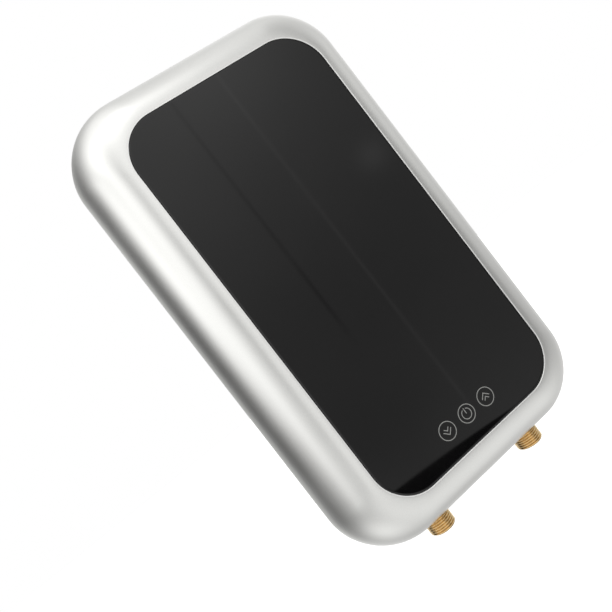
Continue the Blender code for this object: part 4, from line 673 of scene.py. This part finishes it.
def stroke(path, closed=False):
    """A printed line: a flat rectangle carried along a path of X and Z, mitred at its bends. Each
    side lies half the line width out along the normal, over the cosine of half the bend."""
    path = np.asarray(path, dtype=float)
    ahead = np.roll(path, -1, axis=0) - path
    behind = path - np.roll(path, 1, axis=0)
    if not closed:
        ahead[-1] = behind[-1]
        behind[0] = ahead[0]
    ahead /= np.linalg.norm(ahead, axis=1, keepdims=True)
    behind /= np.linalg.norm(behind, axis=1, keepdims=True)
    along = ahead + behind
    along /= np.linalg.norm(along, axis=1, keepdims=True)
    mitre = line_width / 2 / np.sum(along * ahead, axis=1, keepdims=True)
    normal = np.stack([-along[:, 1], along[:, 0]], axis=-1) * mitre
    ring = np.stack([path + normal, path - normal, path - normal, path + normal], axis=1)
    depths = np.array([print_front, print_front, print_rear, print_rear])
    y = np.broadcast_to(depths, ring.shape[:2])
    points = np.stack([ring[..., 0], y, ring[..., 1]], axis=-1)
    faces = grid_faces(len(path), 4, closed_rows=closed).reshape(-1, 4).tolist()
    if not closed:
        last = 4 * (len(path) - 1)
        faces += [[0, 1, 2, 3], [last, last + 1, last + 2, last + 3]]
    return points.reshape(-1, 3), faces


def arc(centre, radius, start, end, steps):
    """The centre plus the radius times the cosine and sine of each angle, in degrees from +X."""
    angle = np.radians(np.linspace(start, end, steps + 1))
    x = centre[0] + radius * np.cos(angle)
    z = centre[1] + radius * np.sin(angle)
    return np.stack([x, z], axis=-1)


def double_arrow(centre, up):
    """Two nested right-angled arrows, whose arms fall back from the tip as far as they reach out."""
    lines = []
    for tip, arm in arrow_tips_and_arms:
        corners = ((-arm, tip - arm), (0, tip), (arm, tip - arm))
        lines.append(stroke([(centre[0] + x, centre[1] + up * z) for x, z in corners]))
    return lines


marks = []
touch_fields = {"down": -1, "power": 0, "up": 1}
for symbol, place in touch_fields.items():
    centre = (place * touch_pitch, touch_height)
    ring_path = arc(centre, ring_radius, 0, 360, ring_steps)[:-1]
    marks.append(stroke(ring_path, closed=True))
    if symbol == "power":
        marks.append(stroke(arc(centre, power_radius, *power_ends, power_steps)))
        marks.append(stroke([(centre[0], centre[1] + height) for height in power_line]))
    else:
        marks += double_arrow(centre, 1 if symbol == "up" else -1)


def paint_pale_print(shading):
    """Fine silver-grey screen print, a little uneven in the ink."""
    ink = speckle(shading, 3000, 2)
    return {"base_color": between(ink, (0.24, 0.24, 0.235), (0.33, 0.33, 0.32))}


pale_print = make_finish("pale_print", paint_pale_print, roughness=0.35)
add_piece("touch_marks", *join(marks), [pale_print], [], "black_glass")


# Adhesive frame. Black acrylic foam tape between the glass and the shell's ledge; it shows as the
# dark line round the glass.
def scattered_cells(shading, cells_per_metre, settings=None):
    """The distance to the nearest of scattered points, about so many of them to the metre."""
    sockets = {"Vector": surface_place(shading), "Scale": cells_per_metre}
    return shading.node("TexVoronoi", settings, sockets)


def paint_black_foam(shading):
    """Closed-cell foam: tiny pits in a dull black."""
    cells = scattered_cells(shading, 2600.0)
    return {
        "base_color": between(speckle(shading, 300), (0.012, 0.012, 0.012), (0.03, 0.03, 0.03)),
        "roughness": ease(cells, 0.0, 0.6, 0.7, 0.9),
        "normal": relief(cells, 0.00008),
    }


def dress(finish, *nodes):
    """Gives solids of the frame their finish."""
    for node in nodes:
        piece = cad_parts[node]
        piece.data.materials.clear()
        piece.data.materials.append(finish)


dress(make_finish("black_foam", paint_black_foam), "glass_adhesive")


# Rear cover. A black moulded tray with a fine texture outside, screwed to the shell from behind,
# with a pocket for the bracket; a rubber bush lines its cable hole.
def smooth(finish, slot, *nodes, body="heater"):
    """Solids of the frame as pieces of their own, whose round faces shade smoothly."""
    for node in nodes:
        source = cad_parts[node].data
        points = np.empty(len(source.vertices) * 3)
        source.vertices.foreach_get("co", points)
        faces = [list(face.vertices) for face in source.polygons]
        add_piece(node + "_finished", points, faces, [finish], [node], slot, body, sharp=32.0)


def paint_black_moulded(shading):
    """Glass-filled black plastic with a fine eroded texture and faint flow marks."""
    pits = scattered_cells(shading, 1500.0, {"feature": "SMOOTH_F1"})
    flow = speckle(shading, 18, 3, (1, 1, 0.3))
    return {
        "base_color": between(ease(flow, 0.3, 0.7), (0.017, 0.017, 0.018), (0.028, 0.028, 0.03)),
        "roughness": ease(flow + pits * 0.3, 0.3, 1.0, 0.46, 0.62),
        "normal": relief(pits + speckle(shading, 3800) * 0.4, 0.00005),
    }


def paint_black_rubber(shading):
    """Soft dull rubber with a dusty bloom."""
    bloom = speckle(shading, 160, 3)
    return {
        "base_color": between(ease(bloom, 0.4, 0.75), (0.012, 0.012, 0.012), (0.035, 0.034, 0.033)),
        "roughness": ease(bloom, 0.3, 0.7, 0.6, 0.8),
        "normal": relief(speckle(shading, 1800), 0.00003),
    }


black_moulded = make_finish("black_moulded", paint_black_moulded)
black_rubber = make_finish("black_rubber", paint_black_rubber)
smooth(black_moulded, "black_plastic", "rear_cover")
smooth(black_rubber, "black_rubber", "cable_grommet", "cold_seal", "hot_seal")


# Wall bracket, clamp, straps and screws. Pressed steel sheet and turned screws, all zinc plated and
# passivated, so the grey has a faint blue and yellow bloom and small spangles.
def paint_zinc_steel(shading):
    """Cool grey plate whose tint drifts between blue and straw, with rolling lines and spangles."""
    bloom = speckle(shading, 26, 3)
    spangle = scattered_cells(shading, 420.0)
    lines = speckle(shading, 1500, 1, (0.06, 1, 1))
    return {
        "base_color": between(ease(bloom, 0.35, 0.7), (0.50, 0.53, 0.57), (0.62, 0.60, 0.53)),
        "roughness": ease(spangle + lines * 0.5, 0.1, 0.9, 0.28, 0.46),
        "normal": relief(lines + spangle * 0.3, 0.00001),
    }


zinc_steel = make_finish("zinc_steel", paint_zinc_steel, metallic=1.0)
smooth(zinc_steel, "zinc_steel", "wall_bracket", "connector_clamp", "upper_strap", "lower_strap")

screw_radius = 0.0015
screw_thread_depth = 0.00032
screw_pitch = 0.0009
head_radius = 0.0033
head_height = 0.0022
screw_around = 60
tip_rows = 6
shank_rows = 130
crown_rows = 7
tip_length = screw_radius * 0.8
thread_run_out = 0.0012
recess_edge = 0.00015
wave_softness = 0.93


def thread_wave(turns_up, turns_round):
    """Height of a thread from 0 in its root to 1 on its crest: half, plus the arcsine of a lowered
    cosine of the turns along the axis less the turns round it, over twice its greatest value."""
    wave = np.cos(2 * math.pi * (turns_up - turns_round))
    return 0.5 + np.arcsin(wave_softness * wave) / (2 * math.asin(wave_softness))


def turned_screw(node, towards):
    """A pan head screw as long as the node, its head towards the front (-1) or the wall (1). Its
    head rounds off along an ellipse; the recess is a circle times one plus a six-fold cosine."""
    low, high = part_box(node)
    length = high.y - low.y - head_height
    tip = np.linspace(0, 1, tip_rows)[:, None]
    shank = np.linspace(0, 1, shank_rows)[1:, None]
    round_off = np.linspace(0, math.pi / 2, crown_rows)[:, None]
    share = np.arange(screw_around)[None, :] / screw_around
    shank_height = (1 - shank) * (tip_length - length)
    run_out = np.clip(-shank_height / thread_run_out, 0, 1) * np.clip(shank * 12, 0, 1)
    thread = thread_wave(shank_height / screw_pitch, share)
    thin = screw_radius - screw_thread_depth
    crown = head_radius * 0.6
    lobes = 1 + 0.13 * np.cos(6 * 2 * math.pi * share)
    recess = head_radius * 0.42
    one = np.ones_like(share)
    radius = [
        thin * np.sqrt(tip) * one,
        thin + screw_thread_depth * thread * run_out,
        head_radius * 0.95 * one,
        head_radius * one,
        (crown + (head_radius - crown) * np.cos(round_off)) * one,
        (recess + recess_edge) * lobes,
        recess * lobes,
        recess * lobes,
        recess * 0.55 * one,
        0 * one,
    ]
    height = [
        -length + tip**2 * screw_radius * 0.8,
        shank_height,
        [[0.0]],
        [[head_radius * 0.05]],
        head_height * (0.45 + 0.55 * np.sin(round_off)),
        [[head_height]],
        [[head_height - recess_edge]],
        [[head_height * 0.45]],
        [[head_height * 0.40]],
        [[head_height * 0.36]],
    ]
    radius = np.concatenate(radius)
    height = np.concatenate(height)
    angle = 2 * math.pi * share
    seat = high.y - head_height if towards > 0 else low.y + head_height
    x = (low.x + high.x) / 2 + radius * np.cos(angle)
    z = (low.z + high.z) / 2 + radius * np.sin(angle)
    points = np.stack([x, seat + towards * np.broadcast_to(height, x.shape), z], axis=-1)
    faces = grid_faces(len(points), screw_around).reshape(-1, 4)
    add_piece(node + "_turned", points, faces, [zinc_steel], [node], "zinc_steel", sharp=50.0)


for number in range(1, len(boss_places) + 1):
    turned_screw(f"cover_screw_{number}", 1)
for node in ("clamp_screw", "upper_strap_screw", "lower_strap_screw"):
    turned_screw(node, -1)


# Connectors. Two turned brass G 1/2 males with a real helical thread, a hexagonal collar that seats
# in the rear cover, and a grooved neck for the rubber ring.
thread_radius = 0.0104775
thread_pitch = 0.001814
thread_depth = 0.00116
connector_low = case_middle - 0.197
collar_low = case_middle - 0.1781
collar_high = case_middle - 0.1724
neck_top = case_middle - 0.1544
seal_height = case_middle - 0.1594
connector_bore = 0.0075
neck_radius = 0.009
seal_groove = 0.0079
groove_half = 0.00085
collar_flats = 0.024
collar_corner_share = 1.14
collar_edge = 0.0006
end_chamfer = 0.0013
bore_edge = 0.0004
thread_land = 0.0002
thread_end = 0.0012
thread_end_length = 0.0016
thread_steps = 150
around = 96
turn_angle = 2 * math.pi * np.arange(around) / around


def thread_rows():
    """Radius and height of the threaded length: the thread's radius, less its depth times one less
    the wave, run out below the collar and cut off by the chamfer's cone at the end."""
    ends = (connector_low + thread_land, collar_low - thread_land)
    height = np.linspace(*ends, thread_steps)[:, None]
    share = np.arange(around)[None, :] / around
    crest = thread_wave((height - connector_low) / thread_pitch, share)
    run_out = np.clip((collar_low - thread_end - height) / thread_end_length, 0, 1)
    radius = thread_radius - thread_depth * (1 - crest) * run_out
    chamfer = thread_radius - end_chamfer + (height - connector_low)
    return np.minimum(radius, chamfer), np.broadcast_to(height, radius.shape)


def plain_row(radius, height):
    """A circle of one radius at one height."""
    return np.full((1, around), radius), np.full((1, around), height)


def hexagon_row(height, ease_off=0.0):
    """A hexagon with a corner at the side: half the distance over its flats, divided by the cosine
    of the angle from the middle of the nearest flat, and cut round at its corners."""
    from_flat = np.abs(turn_angle % (math.pi / 3) - math.pi / 6)
    radius = collar_flats / 2 / np.cos(from_flat)
    radius = np.minimum(radius, collar_flats / 2 * collar_corner_share - ease_off)
    return radius[None, :], np.full((1, around), height)


connector_rows = [
    plain_row(connector_bore, connector_low + bore_edge),
    plain_row(connector_bore + bore_edge, connector_low),
    plain_row(thread_radius - end_chamfer, connector_low),
    thread_rows(),
    plain_row(thread_radius, collar_low),
    hexagon_row(collar_low, collar_edge),
    hexagon_row(collar_low + collar_edge),
    hexagon_row(collar_high - collar_edge),
    hexagon_row(collar_high, collar_edge),
    plain_row(neck_radius, collar_high),
    plain_row(neck_radius, seal_height - groove_half),
    plain_row(seal_groove, seal_height - groove_half),
    plain_row(seal_groove, seal_height + groove_half),
    plain_row(neck_radius, seal_height + groove_half),
    plain_row(neck_radius, neck_top),
    plain_row(connector_bore, neck_top),
]
connector_radius = np.concatenate([radius for radius, _ in connector_rows])
connector_height = np.concatenate([height for _, height in connector_rows])


def paint_brass(shading):
    """Turned yellow brass: fine tool rings, tarnish spots, painted shade in the thread's roots."""
    place = {"Vector": surface_place(shading)}
    x, y, height = shading.node("SeparateXYZ", None, place, ("X", "Y", "Z"))
    sideways = x.math("ABSOLUTE") - column_x
    forward = y - connector_y
    radius = (sideways * sideways + forward * forward).math("SQRT")
    # Painted shade: the thread's roots below the collar are darkened, standing in for shade in the
    # grooves.
    root = ease(radius, thread_radius - thread_depth, thread_radius - 0.0002, 1.0, 0.0)
    below = ease(height, collar_low - 0.002, collar_low, 1.0, 0.0)
    stain = speckle(shading, 240, 3)
    rings = speckle(shading, 2600, 1, (0.2, 0.2, 1))
    # Painted shade in the roots, plus random tarnish blotches that are the brass's own.
    dark = root * below * 0.6 + ease(stain, 0.5, 0.8) * 0.2
    return {
        "base_color": between(dark, (0.94, 0.72, 0.41), (0.40, 0.24, 0.09)),
        "roughness": ease(rings * 0.5 + stain * 0.5, 0.3, 0.7, 0.16, 0.30),
        "normal": relief(rings, 0.000012),
    }


brass = make_finish("brass", paint_brass, metallic=1.0)
for name, side in (("cold_connector", 1), ("hot_connector", -1)):
    x = side * column_x + connector_radius * np.cos(turn_angle)
    y = connector_y + connector_radius * np.sin(turn_angle)
    points = np.stack([x, y, connector_height], axis=-1)
    faces = grid_faces(len(points), around, closed_rows=True).reshape(-1, 4)
    add_piece(name + "_turned", points, faces, [brass], [name], "brass", sharp=42.0)


# Flow meter. Black moulded body on the cold neck with a white spider at each end of a steel shaft,
# a blue bladed rotor, a grey pulse sensor on the pad, and a white strainer below.
def moulded(name, low, high, roughness=(0.3, 0.42)):
    """Unpainted moulded plastic: slow tone drift, fine grain, slightly uneven gloss."""

    def paint(shading):
        drift = speckle(shading, 40, 3)
        return {
            "base_color": between(ease(drift, 0.3, 0.7), low, high),
            "roughness": ease(drift, 0.3, 0.7, *roughness),
            "normal": relief(speckle(shading, 1200), 0.00002),
        }

    return make_finish(name, paint)


white_plastic = moulded("white_plastic", (0.70, 0.69, 0.64), (0.79, 0.78, 0.74))
blue_plastic = moulded("blue_plastic", (0.035, 0.11, 0.33), (0.06, 0.16, 0.42))
grey_plastic = moulded("grey_plastic", (0.27, 0.28, 0.29), (0.33, 0.34, 0.35), (0.42, 0.56))
smooth(black_moulded, "black_plastic", "flow_meter_body", "outlet_tee")
smooth(white_plastic, "white_plastic", "inlet_strainer", "lower_spider", "upper_spider")
smooth(blue_plastic, "blue_plastic", "turbine_rotor", body="turbine")
dress(grey_plastic, "hall_sensor")


# Heating chambers. Drawn stainless tubes closed by moulded caps and a moulded head, with a coiled
# tubular element in each, fed by short bent copper pipes.
def paint_stainless(shading):
    """Drawn stainless: long fine lines up the tube and a light heat tint."""
    lines = speckle(shading, 2200, 2, (1, 1, 0.02))
    tint = speckle(shading, 30, 3)
    return {
        "base_color": between(ease(tint, 0.35, 0.75), (0.60, 0.60, 0.59), (0.66, 0.62, 0.55)),
        "roughness": ease(lines, 0.3, 0.7, 0.18, 0.34),
        "normal": relief(lines, 0.000012),
    }


def paint_copper(shading):
    """Bent copper pipe, bright where handled and brown where it has aged."""
    age = speckle(shading, 90, 4)
    return {
        "base_color": between(ease(age, 0.4, 0.75), (0.82, 0.44, 0.27), (0.42, 0.19, 0.10)),
        "roughness": ease(age, 0.3, 0.7, 0.22, 0.42),
        "normal": relief(speckle(shading, 1600, 1, (1, 1, 0.1)), 0.00001),
    }


stainless = make_finish("stainless", paint_stainless, metallic=1.0)
copper = make_finish("copper", paint_copper, metallic=1.0)
smooth(stainless, "stainless", "cold_chamber", "hot_chamber", "turbine_shaft", "temperature_probe")
smooth(copper, "copper", "cold_pipe", "hot_pipe")
smooth(black_moulded, "black_plastic", "cold_bottom_cap", "hot_bottom_cap", "top_manifold")

element_radius = 0.0031
element_wind = 0.0105
element_low = -0.0687
element_high = 0.1058
element_top = 0.141
element_bend = 2 * element_radius
element_turns = 6
steps_per_turn = 8
bend_steps = 5
chamber_y = -0.0245


def curve(points, steps=6):
    """A Catmull-Rom curve through the points, the cubic that leaves each along the line between its
    neighbours, with a straight length before its second point and after its last but one."""
    points = np.asarray(points, dtype=float)
    bent = points[1:-1]
    bent = np.concatenate([[2 * bent[0] - bent[1]], bent, [2 * bent[-1] - bent[-2]]])
    before, start, end, after = (bent[shift : len(bent) - 3 + shift, None] for shift in range(4))
    t = (np.arange(steps) / steps)[None, :, None]
    bend = (2 * before - 5 * start + 4 * end - after) * t**2
    swing = (3 * start - before - 3 * end + after) * t**3
    cubic = (2 * start + (end - before) * t + bend + swing) / 2
    return np.concatenate([points[:1], cubic.reshape(-1, 3), points[-2:]])


def tube(path, radius, aside, sides=16):
    """A round rod along a path. The first axis of each ring is the direction aside less its part
    along the path, and the second is the path's direction crossed with the first."""
    along = np.gradient(path, axis=0)
    along /= np.linalg.norm(along, axis=1, keepdims=True)
    across = aside - along * (along @ aside)[:, None]
    across /= np.linalg.norm(across, axis=1, keepdims=True)
    angle = 2 * math.pi * np.arange(sides)[None, :, None] / sides
    ring = np.cos(angle) * across[:, None] + np.sin(angle) * np.cross(along, across)[:, None]
    faces = grid_faces(len(path), sides).reshape(-1, 4).tolist()
    last = sides * (len(path) - 1)
    faces += [list(range(sides)), list(range(last, last + sides))]
    return path[:, None] + radius * ring, faces


# The element comes down its chamber's middle, bends outwards in half a turn and winds back up.
bend_share = np.linspace(1 / bend_steps, 1, bend_steps)
bend_radius = element_wind * np.sin(math.pi / 2 * bend_share)
bend_points = [
    -bend_radius * np.cos(math.pi * bend_share),
    -bend_radius * np.sin(math.pi * bend_share),
    element_low + element_bend * np.cos(math.pi / 2 * bend_share),
]
wind_steps = element_turns * steps_per_turn
wind_angle = 2 * math.pi / steps_per_turn * np.arange(1, wind_steps + 1)
wind_points = [
    element_wind * np.cos(wind_angle),
    element_wind * np.sin(wind_angle),
    np.linspace(element_low, element_high, wind_steps + 1)[1:],
]
middle_heights = [element_top, element_low + 3 * element_bend, element_low + 2 * element_bend]
middle_leg = [(0, 0, height) for height in middle_heights]
outer_leg = [(element_wind, 0, element_high + element_bend), (element_wind, 0, element_top)]
lengths = [middle_leg, np.transpose(bend_points), np.transpose(wind_points), outer_leg]
element_path = curve(np.concatenate(lengths))
for name, side in (("cold_heating_element", 1), ("hot_heating_element", -1)):
    wound = element_path * (side, side, 1) + (side * column_x, chamber_y, case_middle)
    points, faces = tube(wound, element_radius, np.array([side * 0.7, 0.0, 0.7]))
    add_piece(name + "_wound", points, faces, [stainless], [name], "stainless")


# Safety and power. The cut-out with its red reset button, the milled aluminium saddle with two
# power switches against the cold chamber, and the green board with its parts.
def paint_aluminium(shading):
    """Milled aluminium: even tool lines across the bar."""
    lines = speckle(shading, 1800, 1, (0.05, 1, 1))
    return {
        "base_color": between(speckle(shading, 60), (0.64, 0.65, 0.66), (0.74, 0.75, 0.76)),
        "roughness": ease(lines, 0.3, 0.7, 0.26, 0.42),
        "normal": relief(lines, 0.00002),
    }


def paint_green_board(shading):
    """Solder mask over copper tracks: a lighter grid of tracks shows through the green."""
    tracks = scattered_cells(shading, 260.0, {"distance": "MANHATTAN"})
    track = ease(tracks, 0.30, 0.36)
    return {
        "base_color": between(track, (0.045, 0.24, 0.11), (0.018, 0.13, 0.06)),
        "roughness": ease(track, 0.0, 1.0, 0.28, 0.4),
        "normal": relief(1.0 - track, 0.00003),
    }


def paint_ferrite(shading):
    """Pressed ferrite and varnished tape: dull dark grey with a sandy grain."""
    sand = speckle(shading, 2000, 3)
    return {
        "base_color": between(sand, (0.045, 0.045, 0.05), (0.095, 0.095, 0.10)),
        "roughness": ease(sand, 0.3, 0.7, 0.5, 0.7),
        "normal": relief(sand, 0.00004),
    }


smooth(make_finish("aluminium", paint_aluminium, metallic=1.0), "aluminium", "triac_saddle")
green_board = make_finish("green_board", paint_green_board)
dress(green_board, "power_board", "touch_board")
coil_varnish = moulded("coil_varnish", (0.016, 0.14, 0.065), (0.03, 0.20, 0.095), (0.18, 0.32))
smooth(coil_varnish, "green_board", "residual_coil")
dress(make_finish("ferrite", paint_ferrite), "board_transformer")
dress(blue_plastic, "main_relay")
dress(white_plastic, "terminal_block")
dress(black_moulded, "lower_triac", "upper_triac")
smooth(black_moulded, "black_plastic", "thermal_cutout", "smoothing_capacitor")
red_plastic = moulded("red_plastic", (0.50, 0.03, 0.025), (0.60, 0.05, 0.04))
smooth(red_plastic, "red_plastic", "reset_button", body="cutout_reset")


# Leads. Insulated copper wires and the panel cable, drawn and slightly glossy: red for live, blue
# for neutral, and grey for the heat-proof element leads.
lead_radius = 0.0014
# Routes on the right-hand side, in millimetres from the case's middle.
supply_route = [
    (13.333, -10.5, -120.0),
    (13.333, -10.5, -114.7),
    (6.0, -18.7, -108.15),
    (2.0, -26.9, -72.0),
    (2.0, -26.9, -48.0),
    (2.0, -26.9, -23.0),
    (4.0, -25.5, -13.0),
    (8.0, -20.1, -10.2),
    (8.0, -17.3, -10.2),
    (8.0, -15.9, -10.2),
]
panel_route = [
    (18.0, -15.9, -30.0),
    (18.0, -17.3, -30.0),
    (18.0, -21.5, -30.0),
    (18.0, -33.45, -56.5),
    (18.0, -42.6, -91.0),
    (18.0, -46.8, -99.0),
    (18.0, -49.6, -99.0),
    (18.0, -51.0, -99.0),
]
element_route = [
    (20.025, -15.9, 64.0),
    (20.025, -17.3, 64.0),
    (20.025, -21.5, 68.0),
    (26.7, -37.3, 94.0),
    (26.7, -37.3, 121.0),
    (26.7, -37.3, 130.6),
    (30.9, -30.9, 136.2),
    (42.0, -24.5, 136.2),
    (44.8, -24.5, 136.2),
]
leads = [
    ("live_lead", supply_route, 1, red_plastic, "red_plastic"),
    ("neutral_lead", supply_route, -1, blue_plastic, "blue_plastic"),
    ("panel_cable", panel_route, 1, grey_plastic, "grey_plastic"),
    ("hot_element_lead", element_route, -1, grey_plastic, "grey_plastic"),
    ("cold_element_lead", element_route, 1, grey_plastic, "grey_plastic"),
]
for name, route, side, finish, slot in leads:
    path = curve(np.array(route) / 1000 * (side, 1, 1) + (0, 0, case_middle), 8)
    points, faces = tube(path, lead_radius, np.array([side * 0.6, 0.6, 0.6]))
    add_piece(name + "_drawn", points, faces, [finish], [name], slot)


# Touch panel. A black moulded carrier behind the glass holds the touch board, the number display
# and three coiled contact springs.
dress(black_moulded, "panel_carrier", "display_module")
spring_wire = 0.0003
spring_foot = -0.0535
spring_length = 0.0047
spring_turns = 3
spring_steps = 96
spring_foot_radius = 0.0036
spring_taper = 0.0014
spring_share = np.linspace(0, 1, spring_steps + 1)
spring_angle = 2 * math.pi * spring_turns * spring_share
spring_radius = spring_foot_radius - spring_taper * spring_share
for name, place in touch_fields.items():
    x = place * touch_pitch + spring_radius * np.cos(spring_angle)
    z = touch_height + spring_radius * np.sin(spring_angle)
    coil = np.stack([x, spring_foot - spring_length * spring_share, z], axis=-1)
    points, faces = tube(coil, spring_wire, np.array([0.0, 1.0, 0.0]), 10)
    node = "touch_spring_" + name
    add_piece(node + "_coiled", points, faces, [stainless], [node], "stainless")
